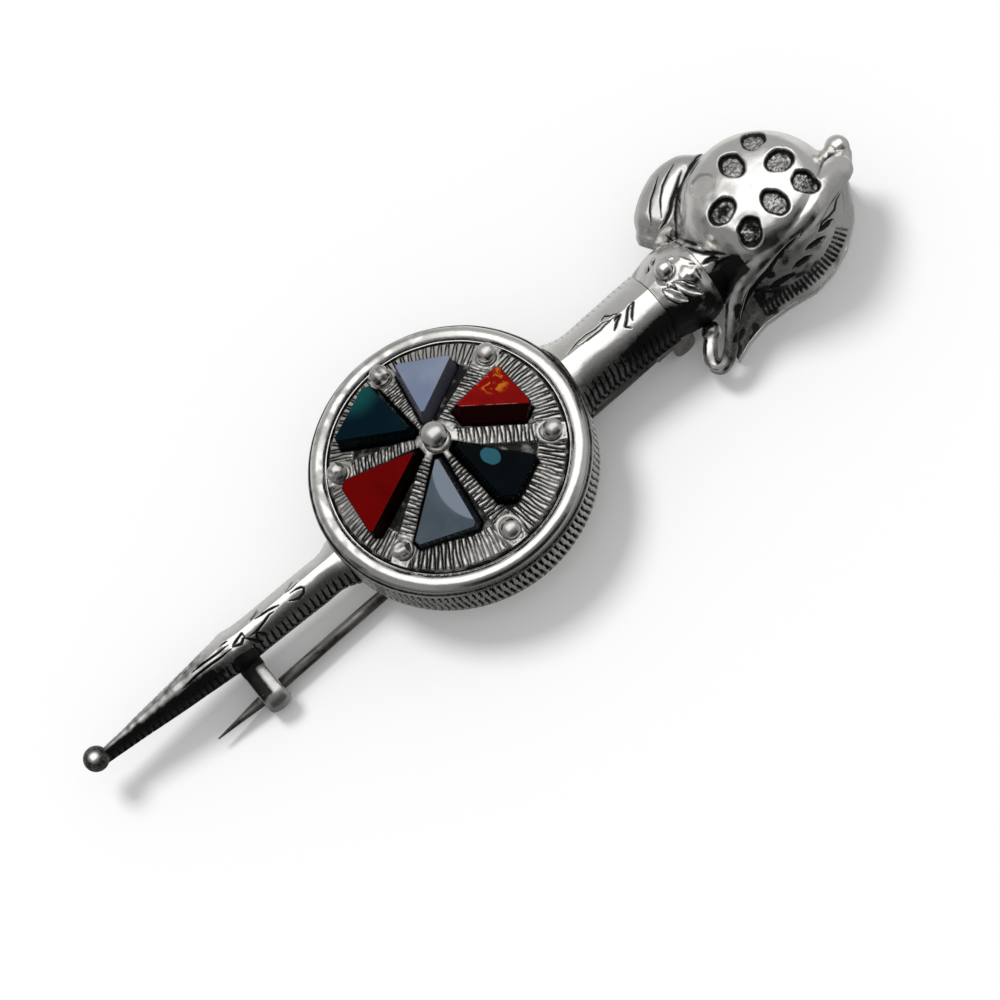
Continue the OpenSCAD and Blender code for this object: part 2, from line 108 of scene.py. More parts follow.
def drawn(points):
    """Where points in millimetres, measured from the shield's centre line, fall in the picture."""
    away = np.asarray(points, float) + [SHIELD_X, 0, 0] - np.array(CAMERA_AT) / MM
    scale = PICTURE * LENS / SENSOR / (away @ -np.array(back))
    return (PICTURE / 2 + scale * (away @ np.array(right)),
            PICTURE / 2 - scale * (away @ np.array(top)))


print("the shield's boss falls at", [round(float(v)) for v in drawn([0, 0, 10])])

# %% [markdown]
# ## Meshes from numbers
#
# Engraving is regular work: the same stroke of a graver, hundreds of times. It could be sculpted
# or painted as a bump, but a mesh written by numpy holds each stroke as real metal and catches the
# light from every side. One helper turns arrays of points and faces into an object, and another
# makes the faces of a grid.

# %% Build objects from arrays
def grid_faces(rows, cols, wrap=False):
    """Quads between neighbours of a grid of points; wrap joins the last column to the first."""
    row = np.arange(rows - 1)[:, None]
    col = np.arange(cols if wrap else cols - 1)[None, :]
    here = row * cols + col
    beside = row * cols + (col + 1) % cols
    return np.stack([here, beside, beside + cols, here + cols], -1).reshape(-1, 4).tolist()


def make_piece(name, points, faces, marks=None, sharp=180):
    """A closed, smooth-shaded mesh object from points in millimetres, with named point values."""
    mesh = bpy.data.meshes.new(name)
    mesh.from_pydata((np.asarray(points, float).reshape(-1, 3) * MM).tolist(), [], faces)
    for key, values in (marks or {}).items():
        layer = mesh.attributes.new(key, "FLOAT", "POINT")
        layer.data.foreach_set("value", np.asarray(values, np.float32).ravel())
    body = bmesh.new()
    body.from_mesh(mesh)
    bmesh.ops.recalc_face_normals(body, faces=body.faces)
    body.to_mesh(mesh)
    body.free()
    mesh.shade_smooth()
    if sharp < 180:
        mesh.set_sharp_from_angle(angle=math.radians(sharp))
    return put_in_scene(name, mesh)


def count(piece):
    """Prints how many triangles a piece takes."""
    triangles = sum(len(p.vertices) - 2 for p in piece.data.polygons)
    print(piece.name, "has", triangles, "triangles")
    return piece


def gather(shells):
    """Joins (points, faces, marks) shells into one list of points, faces and marks."""
    points, faces, marks, start = [], [], {}, 0
    for shell_points, shell_faces, shell_marks in shells:
        shell_points = np.asarray(shell_points, float).reshape(-1, 3)
        points.append(shell_points)
        faces += [[v + start for v in face] for face in shell_faces]
        for key, values in shell_marks.items():
            marks.setdefault(key, []).append(np.broadcast_to(values, len(shell_points)))
        start += len(shell_points)
    return np.concatenate(points), faces, {key: np.concatenate(v) for key, v in marks.items()}


# %% [markdown]
# Worn silver is never quite even. Smooth noise on a small lattice of seeded random numbers gives
# the same unevenness on each run.

# %% Seeded noise and small curves
def noise(points, size, seed):
    """Smooth noise from 0 to 1 at points, with lumps of the given size in millimetres."""
    table = np.random.default_rng(seed).random((32, 32, 32))
    place = np.asarray(points, float) / size
    cell = np.floor(place).astype(int)
    part = place - cell
    part = part * part * (3 - 2 * part)
    total = 0
    for corner in np.ndindex(2, 2, 2):
        weight = np.prod(np.where(corner, part, 1 - part), axis=-1)
        index = (cell + corner) % 32
        total = total + weight * table[index[..., 0], index[..., 1], index[..., 2]]
    return total


def uneven(points, size, seed, height):
    """The same noise as a rise and fall of a height in all, half up and half down."""
    return (noise(points, size, seed) - 0.5) * height


def ramp(value, low, high):
    """0 below low, 1 above high and a smooth rise between; high may lie under low."""
    share = np.clip((value - low) / (high - low), 0, 1)
    return share * share * (3 - 2 * share)


def curve(table, share):
    """Smooth columns of a table of rows (share, values...) at the given shares."""
    table = np.asarray(table, float)
    x, y = table[:, 0], table[:, 1:]
    slope = np.diff(y, axis=0) / np.diff(x)[:, None]
    tangent = np.zeros_like(y)
    tangent[1:-1] = np.where(slope[1:] * slope[:-1] > 0, (slope[1:] + slope[:-1]) / 2, 0)
    tangent[0], tangent[-1] = slope[0], slope[-1]
    share = np.clip(np.asarray(share, float), x[0], x[-1])
    i = np.clip(np.searchsorted(x, share, side="right") - 1, 0, len(x) - 2)
    run = (x[i + 1] - x[i])[:, None]
    t = ((share - x[i]) / (x[i + 1] - x[i]))[:, None]
    return ((2 * t ** 3 - 3 * t ** 2 + 1) * y[i] + (t ** 3 - 2 * t ** 2 + t) * run * tangent[i]
            + (3 * t ** 2 - 2 * t ** 3) * y[i + 1] + (t ** 3 - t ** 2) * run * tangent[i + 1])


def zigzag(along, across, period, reach):
    """Distance from the zigzag line that a rocking graver leaves, walking along with its strokes
    reaching across to each side."""
    phase = np.mod(along / period, 1)
    stroke = reach * (4 * np.abs(phase - 0.5) - 1)
    return np.abs(across - stroke) / math.hypot(1, 4 * reach / period)


def ball(middle, radius, rows=20, cols=36, squash=1.0):
    """Points and faces of a closed ball."""
    points = [[0, 0, 1]]
    for i in range(1, rows):
        polar = math.pi * i / rows
        for j in range(cols):
            turn = 2 * math.pi * j / cols
            points.append([math.sin(polar) * math.cos(turn), math.sin(polar) * math.sin(turn),
                           math.cos(polar)])
    points.append([0, 0, -1])
    faces = [[0, 1 + j, 1 + (j + 1) % cols] for j in range(cols)]
    faces += [[v + 1 for v in face] for face in grid_faces(rows - 1, cols, wrap=True)]
    last = 1 + (rows - 2) * cols
    faces += [[last + (j + 1) % cols, last + j, len(points) - 1] for j in range(cols)]
    return np.array(points) * [radius, radius, radius * squash] + np.asarray(middle), faces


print("noise at the origin:", round(float(noise(np.zeros((1, 3)), 1, 1)[0]), 3))

# %% [markdown]
# ## The shield's face
#
# The face is a low cone. Six raised spokes run from the boss to the rim, and a graver was walked
# along each spoke and round the rim with a rocking motion, which leaves a close zigzag called
# wriggle work. Six round pellets end the spokes. Modelling each stroke as its own object would be
# slow, so the whole face is one height map on a fine grid: cone, spokes and seats are added up and
# the zigzags are taken away. The grid's square is bent into a disc, which keeps its cells even.

# %% Sizes shared with the frame
BACK_Z = 2.7
GAP = 0.05
CASE_R = 11.25
FACE_R = 9.43
FACE_RIM_Z = 6.5
FACE_T = 1.3
FACE_SLOPE = math.radians(20)
SPOKE_W = 1.6
SPOKE_H = 0.3
PELLET_RING_R = 0.875 * FACE_R
PELLET_R = 0.8
PELLET_PAD_R = 0.95
BOSS_R = 1.05
HUB_R = 1.5
STONE_MID_R = 0.477 * FACE_R
SEAT_D = 0.7
SPOKE_ANGLES = [math.radians(30 + 60 * i) for i in range(6)]
STONE_ANGLES = [math.radians(60 * i) for i in range(6)]


def cone_z(radius):
    """Height of the plain face at a distance from the shield's centre."""
    return FACE_RIM_Z + (FACE_R - radius) * math.tan(FACE_SLOPE)


print("the face rises from", FACE_RIM_Z, "to", round(cone_z(0), 2), "mm")

# %% [markdown]
# A stone's outline is the CAD's own: an inner end, a left and a right outer corner, each cut a
# little. It could be measured on the CAD's stones, but the few shares that it was drawn from are
# shorter. The seats and the dark lines round the stones start from it.

# %% Outlines of the stones
STONE_L = 0.657 * FACE_R
STONE_W = 0.562 * FACE_R
STONE_NOSE = 0.3
STONE_CORNER = 0.3
CROWN_IN = 0.2
BEVEL_IN = 0.9
# Each row: inner end, left corner and right corner as (along, across), and the right corner's cut
TABLES = [[-0.35, 0.2, 0.42, 0.46, 0.44, -0.37, 1], [-0.44, 0.14, 0.47, 0.54, 0.43, -0.33, 1],
          [-0.42, 0, 0.62, 0.4, 0.52, -0.6, 2], [-0.47, -0.03, 0.6, 0.37, 0.5, -0.6, 2],
          [-0.52, -0.02, 0.37, 0.38, 0.47, -0.59, 1.6],
          [-0.52, -0.02, 0.43, 0.31, 0.38, -0.55, 3.5]]


def toward(start, end):
    """Direction from one point to another."""
    return (end - start) / np.linalg.norm(end - start)


def table_outline(i):
    """Six corners of a stone's table, in millimetres along and across the slope of its seat."""
    row = TABLES[i]
    inner, left, right_end = (np.array([row[k] * STONE_L, row[k + 1] * STONE_W]) for k in (0, 2, 4))
    nose = np.array([0, STONE_NOSE / 2])
    cut = STONE_CORNER * row[6]
    return np.array([inner - nose, right_end + toward(right_end, inner - nose) * cut,
                     right_end + toward(right_end, left) * cut,
                     left + toward(left, right_end) * STONE_CORNER,
                     left + toward(left, inner + nose) * STONE_CORNER, inner + nose])


def girdle_outline(i):
    """The table's outline moved outward to the stone's girdle."""
    corners = table_outline(i)
    n = len(corners)
    moves = [BEVEL_IN if i + k == 0 else CROWN_IN for k in range(n)]
    moved = []
    for k in range(n):
        before, after = toward(corners[k - 1], corners[k]), toward(corners[k], corners[(k + 1) % n])
        before, after = np.array([before[1], -before[0]]), np.array([after[1], -after[0]])
        turn = float(before @ after)
        shift = (before * (moves[k - 1] - moves[k] * turn)
                 + after * (moves[k] - moves[k - 1] * turn)) / (1 - turn * turn)
        moved.append(corners[k] + shift)
    return np.array(moved)


def outside(points, corners):
    """Signed distance from a convex outline; inside is negative."""
    distance = np.full(len(points), -1e9)
    for k in range(len(corners)):
        along = toward(corners[k], corners[(k + 1) % len(corners)])
        distance = np.maximum(distance, (points - corners[k]) @ np.array([along[1], -along[0]]))
    return distance


def on_seat(points, i):
    """Points (x, y) of the shield in the frame of a stone's seat, along and across its slope."""
    cos, sin = math.cos(STONE_ANGLES[i]), math.sin(STONE_ANGLES[i])
    out = points[:, 0] * cos + points[:, 1] * sin
    side = points[:, 1] * cos - points[:, 0] * sin
    along = (out - STONE_MID_R) / math.cos(FACE_SLOPE)
    return np.stack([along, side], -1)


print("stones:", len(TABLES), "outlines, the first", round(STONE_L, 2), "mm long")

# %% [markdown]
# The height map needs a grid that fills a disc. A round grid crowds its cells at the centre, so a
# square grid is bent into the disc instead, which keeps its cells even.

# %% Bend a square grid into a disc
FACE_CELLS = 278


def disc_points(cells, radius):
    """A square grid bent into a disc; rows and columns stay evenly spaced."""
    line = np.linspace(-1, 1, cells + 1)
    u, v = np.meshgrid(line, line, indexing="ij")
    reach = np.maximum(np.abs(u), np.abs(v))
    turn = np.where(np.abs(u) > np.abs(v), np.pi / 4 * v / np.where(u == 0, 1, u),
                    np.pi / 2 - np.pi / 4 * u / np.where(v == 0, 1, v))
    flip = np.where(np.abs(u) > np.abs(v), np.sign(u), np.sign(v))
    return np.stack([flip * reach * radius * np.cos(turn), flip * reach * radius * np.sin(turn)],
                    -1).reshape(-1, 2)


face_xy = disc_points(FACE_CELLS, FACE_R)
print("face grid of", len(face_xy), "points")

# %% [markdown]
# Wriggle work is cut along the spokes and round the rim. Each zigzag is a soft V groove, a little
# unsteady as a hand leaves it, and the depth of the groove is kept as a number from 0 to 1.

# %% Walk the graver over spokes and rim
STROKE_PERIOD = 0.57
STROKE_LEAN = 2.6
GROOVE_SIDES = (0.1, 0.02)
RIM_R = 8.3
RIM_STROKES = 90
RIM_REACH = 2.4
RIM_H = 0.16


def wriggle_work(xy, at):
    """Height of the raised spokes and rim at points (x, y), and how deep a groove cuts them."""
    radius, angle = np.hypot(*xy.T), np.arctan2(xy[:, 1], xy[:, 0])
    unsteady = uneven(at, 0.9, 3, 0.12) + uneven(at, 0.3, 4, 0.03)
    rim = ramp(radius, 7.15, 7.35) * ramp(radius, 9.36, 9.2)
    height = rim * RIM_H
    groove = rim * ramp(zigzag(angle * RIM_R + unsteady, radius - RIM_R,
                               2 * math.pi * RIM_R / RIM_STROKES, RIM_REACH), *GROOVE_SIDES)
    for turn in SPOKE_ANGLES:
        along = xy[:, 0] * math.cos(turn) + xy[:, 1] * math.sin(turn)
        side = xy[:, 1] * math.cos(turn) - xy[:, 0] * math.sin(turn)
        bar = ramp(np.abs(side), SPOKE_W / 2 + 0.06, SPOKE_W / 2 - 0.1) * (along > 0)
        line_off = zigzag(along + unsteady, side, STROKE_PERIOD, STROKE_LEAN * SPOKE_W / 2)
        cut = ramp(line_off, *GROOVE_SIDES) * bar
        cut = cut * (along > HUB_R + 0.1) * (along < PELLET_RING_R - PELLET_PAD_R)
        height = np.maximum(height, bar * SPOKE_H)
        groove = np.maximum(groove, cut)
    return height, groove


print("rim strokes are", round(2 * math.pi * RIM_R / RIM_STROKES, 2), "mm apart")

# %% [markdown]
# The rest of the map is laid over the wriggle work: smooth pads under the pellets, the hub and the
# seats of the stones. Polish never reaches the bottom of a cut, so the same sums give the tarnish
# of each point, and a ring of painted shade round the edge of each seat, which the silver's
# material will read.

# %% Height map of the face
GROOVE_DEPTH = 0.12
SEAT_EDGE = (0.13, 0.03)
SEAT_SHADE = (0.42, 0.06)


def face_relief(xy):
    """Height above the plain cone, and tarnish with painted shade, of the face at points (x, y)."""
    radius = np.hypot(*xy.T)
    at = np.column_stack([xy, np.zeros(len(xy))])
    strength = 0.55 + 0.8 * noise(at, 1.6, 5)
    height, groove = wriggle_work(xy, at)
    for turn in SPOKE_ANGLES:
        middle = np.array([math.cos(turn), math.sin(turn)]) * PELLET_RING_R
        reach = np.hypot(*(xy - middle).T)
        pad = ramp(reach, PELLET_PAD_R + 0.25, PELLET_PAD_R - 0.05)
        foot = ramp(np.abs(reach - PELLET_R * 0.92), 0.12, 0.0)
        height = height * (1 - pad) + pad * (SPOKE_H - 0.04)
        groove = np.maximum(groove * (1 - pad), 0.5 * foot)
    hub = ramp(radius, HUB_R + 0.1, HUB_R - 0.05)
    boss_foot = ramp(np.abs(radius - BOSS_R * 0.95), 0.1, 0.0)
    height = height * (1 - hub) + hub * SPOKE_H
    groove = np.maximum(groove * (1 - hub), 0.7 * boss_foot)
    plain = ramp(height, 0.14, 0.02) * (0.45 + 0.5 * noise(at, 0.5, 9))
    tarnish_and_shade = np.clip(np.maximum(groove * strength * 0.85, plain), 0, 1)
    height = height - GROOVE_DEPTH * groove * strength + uneven(at, 0.35, 8, 0.06)
    for i in range(len(TABLES)):
        edge = outside(on_seat(xy, i), girdle_outline(i))
        seat = ramp(edge, *SEAT_EDGE)
        height = height * (1 - seat) - seat * SEAT_D
        # Painted shade: a dark ring round the edge of each stone's seat.
        tarnish_and_shade = np.maximum(tarnish_and_shade, ramp(edge, *SEAT_SHADE) * (0.55 + 0.5 * noise(at, 0.8, 12)))
    return height, np.clip(tarnish_and_shade, 0, 1)


face_height, face_tarnish_and_shade = face_relief(face_xy)
face_z = cone_z(np.hypot(*face_xy.T)) + face_height
face_points = np.column_stack([face_xy[:, 0] + SHIELD_X, face_xy[:, 1], face_z])
print("face relief from", round(float(face_height.min()), 2), "to",
      round(float(face_height.max()), 2), "mm")

# %% [markdown]
# The map becomes a solid with a skirt round its edge and a plain underside, so that the face is a
# closed plate like the real one.

# %% Close the face into a plate
side = FACE_CELLS + 1
last = side - 1
edge_loop = ([j for j in range(side)] + [i * side + last for i in range(1, side)]
             + [last * side + j for j in range(last - 1, -1, -1)]
             + [i * side for i in range(last - 1, 0, -1)])
skirt = face_points[edge_loop].copy()
skirt[:, 2] = FACE_RIM_Z - FACE_T
skirt_start = len(face_points)
under = skirt_start + len(edge_loop)
plate_points = np.concatenate([face_points, skirt, [[SHIELD_X, 0, cone_z(0) - FACE_T]]])
plate_faces = grid_faces(side, side)
for k, here in enumerate(edge_loop):
    after = (k + 1) % len(edge_loop)
    plate_faces.append([here, edge_loop[after], skirt_start + after, skirt_start + k])
    plate_faces.append([skirt_start + k, skirt_start + after, under])
plate_tarnish_and_shade = np.concatenate([face_tarnish_and_shade, np.full(len(edge_loop) + 1, 0.6)])
shells = [(plate_points, plate_faces, {"tarnish_and_shade": plate_tarnish_and_shade})]
print("plate of", len(plate_faces), "faces")

# %% [markdown]
# The pellets and the boss are true balls, because a height map can't hold their undercut sides and
# their highlights would show its cells. Three pellets are worn to blobs, which noise does by moving
# their points in and out.

# %% Add the pellets and the boss
WORN_PELLETS = (1, 2, 3)
FLATTER = 0.85
for i, turn in enumerate(SPOKE_ANGLES):
    lift = SPOKE_H + PELLET_R * 0.55
    out = PELLET_RING_R + lift * math.sin(FACE_SLOPE)
    middle = [SHIELD_X + out * math.cos(turn), out * math.sin(turn),
              cone_z(PELLET_RING_R) + lift * math.cos(FACE_SLOPE)]
    pellet_points, pellet_faces = ball(middle, PELLET_R, 26, 48, squash=FLATTER)
    worn = 1.0 if i in WORN_PELLETS else 0.12
    rough = noise(pellet_points, 0.38, 14) - 0.6
    pellet_points = pellet_points + 0.3 * worn * rough[:, None] * (pellet_points - middle)
    # Painted shade on each pellet's lower half; the pits of the worn ones are tarnish.
    low = ramp(pellet_points[:, 2], middle[2] + 0.05, middle[2] - 0.35)
    pits = worn * ramp(rough, 0.0, -0.35) * 0.4
    shells.append((pellet_points, pellet_faces, {"tarnish_and_shade": np.maximum(0.85 * low, pits)}))
boss_middle = [SHIELD_X, 0, cone_z(0) + SPOKE_H + BOSS_R * 0.62]
boss_points, boss_faces = ball(boss_middle, BOSS_R, 30, 56, squash=FLATTER)
# Painted shade on the boss's lower half.
boss_painted_shade = ramp(boss_points[:, 2], boss_middle[2] - 0.1, boss_middle[2] - 0.55)
shells.append((boss_points, boss_faces, {"tarnish_and_shade": 0.75 * boss_painted_shade}))
shield_face = count(make_piece("shield_face_plate", *gather(shells), sharp=60))
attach(shield_face, "body")
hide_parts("shield_face")

# %% [markdown]
# ## The case
#
# The case is a shallow box turned on a lathe: a back sheet, an upright wall, a ledge under the face
# and a round wire bezel that holds the face in. A lathe is a profile swept round an axis. Blender
# has a modifier for that, but here the wall's points have to move one by one later, so the profile
# is a list of distances from the axis and heights, and numpy sweeps it.

# %% Turn the case
NICKS = 134
NICK_COLUMNS = 7
WALL_TOP = BACK_Z + 3.2
WALL_FOOT = BACK_Z + 0.16
BEZEL_R = 10.2
BEZEL_WIRE = 0.72
BEZEL_TOP = BACK_Z + 4.2
LEDGE_R = 8.69
LEDGE_LOW = 4.55
LEDGE_TOP = 5.15
SEAT_R = 9.52
LIP = (9.63, 6.42)
LIP_WIRE = 0.12
SEAM = (9.77, 6.42)
SHOULDER = [(11.03, 6.0), (11.13, 5.95), (11.21, 5.88)]
SHOULDER_SEAM = (11.08, 5.97)
INSIDE_R = 10.35
INSIDE_FLOOR = 3.25


def arc(middle, radius, start, end, steps):
    """Points of an arc in a profile, from one angle to another in degrees."""
    turn = np.radians(np.linspace(start, end, steps))
    return [(middle[0] + radius * math.cos(t), middle[1] + radius * math.sin(t)) for t in turn]


profile = ([(LEDGE_R, LEDGE_LOW), (LEDGE_R, LEDGE_TOP), (SEAT_R, LEDGE_TOP),
            (SEAT_R, LIP[1] - LIP_WIRE)]
           + arc(LIP, LIP_WIRE, 180, 20, 6) + [SEAM]
           + arc((BEZEL_R, BEZEL_TOP - BEZEL_WIRE), BEZEL_WIRE, 138, -4, 18) + SHOULDER
           + [(CASE_R, z) for z in np.linspace(WALL_TOP - 0.1, WALL_FOOT, 26)]
           + [(CASE_R - 0.05, BACK_Z + 0.05), (CASE_R - 0.15, BACK_Z)]
           + [(CASE_R * share, BACK_Z) for share in (2 / 3, 1 / 3)])
inside_profile = [(3.5, INSIDE_FLOOR), (INSIDE_R, INSIDE_FLOOR), (INSIDE_R, LEDGE_LOW)]
columns = NICKS * NICK_COLUMNS
turns = np.linspace(0, 2 * math.pi, columns, endpoint=False)
profile_r, profile_z = np.array(profile).T
z_grid = np.repeat(profile_z[:, None], columns, 1)
r_grid = np.repeat(profile_r[:, None], columns, 1)
case_at = np.stack([r_grid * np.cos(turns), r_grid * np.sin(turns), z_grid], -1)
print("profile of", len(profile), "points, swept in", columns, "steps")

# %% [markdown]
# The wall was struck all round with two rows of slanted wedge nicks: the lower ones are wide at
# their foot, the upper ones at their head. Cutting each with a boolean would be slow and brittle.
# Here every point of the wall works out how far up its nick it lies and how far from the nick's
# middle, and moves inward by the answer.

# %% Strike the nicks
NICK_DEPTH = 0.33
# Each row: foot, head, slant in millimetres, shift in shares of the pitch, wide at the head
NICK_ROWS = ((2.9, 4.5, 0.2, 0.0, False), (4.2, 5.8, 0.12, 0.5, True))
pitch = 2 * math.pi * CASE_R / NICKS
on_wall = r_grid == CASE_R
arc_length = turns * CASE_R + uneven(case_at, 1.7, 21, 0.1)
nick_depth = np.zeros_like(z_grid)
for low, high, lean, shift, wide_head in NICK_ROWS:
    share = (z_grid - low) / (high - low)
    place = np.mod((arc_length + lean * (share - 0.5)) / pitch + shift, 1) - 0.5
    width = 0.1 + 0.28 * (share if wide_head else 1 - share)
    wedge = ramp(np.abs(place) / width, 1, 0.55) * ramp(share, 0, 0.12) * ramp(share, 1, 0.88)
    nick_depth = np.maximum(nick_depth, wedge)
nick_depth = nick_depth * on_wall * (0.75 + 0.5 * noise(case_at, 2.4, 23))
dents = uneven(case_at, 1.3, 25, 0.03) * (profile_r > SEAT_R - 0.02)[:, None]
r_grid = r_grid - NICK_DEPTH * nick_depth + dents
case_points = np.stack([r_grid * np.cos(turns) + SHIELD_X, r_grid * np.sin(turns),
                        z_grid + dents], -1)
print("nicks:", NICKS, "in each of", len(NICK_ROWS), "rows")

# %% [markdown]
# Black sits in the nicks, in the seams on both sides of the bezel and under the face. The bezel is
# dull on the side where it was rubbed, which no light would explain, so that is tarnish too.

# %% Tarnish the case
SCUFFED_SIDE = math.radians(125)


def dark_seam(place, reach):
    """1 on a line of the profile, given as distance from the axis and height, 0 beyond a reach."""
    off_r, off_z = (profile_r - place[0]) / reach[0], (profile_z - place[1]) / reach[1]
    return np.exp(-off_r ** 2 - off_z ** 2)


seams = 0.9 * dark_seam(SEAM, (0.05, 0.08)) + 0.9 * dark_seam(SHOULDER_SEAM, (0.12, 0.12))
under_face = 0.75 * (profile_r < SEAT_R + 0.03) * (profile_z > INSIDE_FLOOR + 0.05)
on_bezel = (profile_r > 9.8) & (profile_z > 5.9)
scuffed = ramp(np.cos(turns - SCUFFED_SIDE), -0.1, 0.7) * on_bezel[:, None]
scuffed = scuffed * ramp(noise(case_at * [1, 1, 0.5], 0.55, 27), 0.3, 0.75)
case_tarnish = np.clip(ramp(nick_depth, 0.15, 0.6) * 1.1 + 0.08 * on_wall + 0.34 * scuffed
                       + (seams + under_face)[:, None], 0, 1)
print("tarnish covers", round(100 * float(case_tarnish.mean())), "% of the case")

# %% [markdown]
# The swept rows become a closed box. A fan of triangles closes the back, another closes the floor
# inside, and a last ring joins the inside to the ledge where the profile began.

# %% Close the case
inside_grid = np.array([[[r * math.cos(t) + SHIELD_X, r * math.sin(t), z] for t in turns]
                        for r, z in inside_profile])
case_all = np.concatenate([case_points.reshape(-1, 3), [[SHIELD_X, 0, BACK_Z]],
                           inside_grid.reshape(-1, 3), [[SHIELD_X, 0, INSIDE_FLOOR]]])
back_middle = len(profile) * columns
outer_last = back_middle - columns
inner_start = back_middle + 1
floor_middle = len(case_all) - 1
inner_last = floor_middle - columns
case_faces = grid_faces(len(profile), columns, wrap=True)
case_faces += [[v + inner_start for v in face]
               for face in grid_faces(len(inside_profile), columns, wrap=True)]
for j in range(columns):
    after = (j + 1) % columns
    case_faces.append([outer_last + j, outer_last + after, back_middle])
    case_faces.append([inner_start + j, inner_start + after, floor_middle])
    case_faces.append([inner_last + j, inner_last + after, after, j])
inside_tarnish = np.full(inside_grid[..., 0].size + 1, 0.8)
case_marks = {"tarnish_and_shade": np.concatenate([case_tarnish.ravel(), [0.2], inside_tarnish])}
shield_case = count(make_piece("shield_case_bezel", case_all, case_faces, case_marks, sharp=50))
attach(shield_case, "body")
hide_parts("shield_case")

# %% [markdown]
# ## Sheath, throat and collar
#
# The sheath is half round: a flat back, short upright sides and an oval top. It is soldered from
# three pieces: the long tapered part with its tip ball, the throat above the shield and the swollen
# collar. A curve with a bevel could draw them, but not sink a graver's cut into their skin. All
# three are lofts instead: one helper sweeps the same D section along X, others push the surface in
# where it was cut and close the ends.

# %% Sweep a D section
TOP_STEPS = 140
SIDE_STEPS = 14
SIDE_SHARE = 0.37
ROOF = 0.5


def d_section():
    """Unit D section: across, share of the side's height, share of the top's rise; anticlockwise.
    The far half of the top is flattened like a roof, so the crest is a soft ridge."""
    rise = [(1.0, z, 0.0) for z in np.linspace(0, 1, SIDE_STEPS)]
    oval = [(math.cos(t), 1.0, math.sin(t) - ROOF * max(0, math.sin(t) - 1 + math.cos(t)))
            for t in np.linspace(0, math.pi, TOP_STEPS)[1:-1]]
    fall = [(-1.0, z, 0.0) for z in np.linspace(1, 0, SIDE_STEPS)]
    foot = [(y, 0.0, 0.0) for y in (-0.6, -0.2, 0.2, 0.6)]
    return np.array(rise + oval + fall + foot)


def loft(table, x_start, x_end, half_w, height, step, against_shield=0.0):
    """Grid of points of a D loft and the height of each ring; against_shield is the length over
    which its start follows the round wall of the case."""
    rows = int(abs(x_end - x_start) / step) + 1
    share = np.linspace(0, 1, rows)
    width, tall = curve(table, share).T
    unit = d_section()
    y = unit[None, :, 0] * (width * half_w)[:, None]
    h = (tall * height)[:, None]
    z = BACK_Z + h * SIDE_SHARE * unit[None, :, 1] + h * (1 - SIDE_SHARE) * unit[None, :, 2]
    x = np.repeat((x_start + (x_end - x_start) * share)[:, None], len(unit), 1)
    if against_shield:
        round_start = np.sqrt(np.maximum((CASE_R + GAP) ** 2 - y ** 2, 0)) - CASE_R - GAP
        fade = np.clip(1 - share * abs(x_end - x_start) / against_shield, 0, 1)[:, None]
        x = x + np.sign(x_end - x_start) * round_start * fade
    return np.stack([x, y, z], -1), h


print("D section of", len(d_section()), "points")

# %% [markdown]
# A cut is a move along the surface's own direction. The normals of the grid give that direction,
# and the back, which lies flat against other pieces, is held at its height.

# %% Carve and close a loft
def grid_normals(points):
    """Unit normals of a grid of points that closes round on its second axis."""
    along = np.gradient(points, axis=0)
    around = (np.roll(points, -1, 1) - np.roll(points, 1, 1)) / 2
    normal = np.cross(around, along)
    middle = points.mean(axis=1, keepdims=True)
    if np.sum(normal * (points - middle)) < 0:
        normal = -normal
    return normal / np.maximum(np.linalg.norm(normal, axis=-1, keepdims=True), 1e-9)


def carve(points, normal, lift):
    """Moves points along their normals, keeps the back flat and puts them in their place."""
    carved = points + normal * lift[..., None]
    carved[..., 2] = np.maximum(carved[..., 2], BACK_Z)
    carved[..., 0] += SHIELD_X
    return carved


def close_loft(points, marks):
    """A closed shell from a grid of rings: the sides and a fan over each end."""
    rows, cols = points.shape[:2]
    flat = points.reshape(-1, 3)
    ends = np.array([points[0].mean(0), points[-1].mean(0)])
    faces = grid_faces(rows, cols, wrap=True)
    faces += [[j, (j + 1) % cols, rows * cols] for j in range(cols)]
    last = (rows - 1) * cols
    faces += [[last + j, last + (j + 1) % cols, rows * cols + 1] for j in range(cols)]
    marks = {key: np.concatenate([value.ravel(), [0.5, 0.5]]) for key, value in marks.items()}
    return np.concatenate([flat, ends]), faces, marks


unit_loft = loft([[0, 1, 1], [1, 1, 1]], 0, 1, 1, 1, 0.5)[0]
print("a short loft closes with", len(close_loft(unit_loft, {})[1]), "faces")

# %% [markdown]
# A graver's stroke is a path with a width that thins out at both ends. It could be a curve object
# and a boolean. It is simpler to ask of each point of the metal how far it lies from the path.

# %% Cut along a path
def nearest(x, y, path):
    """Length along a path to its place nearest to each point, how far off that is, and the path's
    whole length."""
    path = np.asarray(path, float)
    lengths = np.concatenate([[0], np.cumsum(np.linalg.norm(np.diff(path, axis=0), axis=1))])
    off, length = np.full(np.shape(x), 1e9), np.zeros(np.shape(x))
    for k, run in enumerate(np.diff(path, axis=0)):
        t = np.clip(((x - path[k, 0]) * run[0] + (y - path[k, 1]) * run[1]) / (run @ run), 0, 1)
        here = np.hypot(x - path[k, 0] - t * run[0], y - path[k, 1] - t * run[1])
        length = np.where(here < off, lengths[k] + t * (lengths[k + 1] - lengths[k]), length)
        off = np.minimum(off, here)
    return length, off, lengths[-1]


def stroke(x, y, path, width, taper=0.35):
    """Share of a graver's cut at places (x, y): 1 on the path's line, 0 at its width, thin ends."""
    length, off, whole = nearest(x, y, path)
    share = length / whole
    local = width * np.clip(np.minimum(share, 1 - share) / taper + 0.25, 0, 1)
    return np.clip(1 - off / local, 0, 1)


def strokes(x, y, paths, width):
    """The deepest of several cuts."""
    return np.max([stroke(x, y, path, width) for path in paths], axis=0)


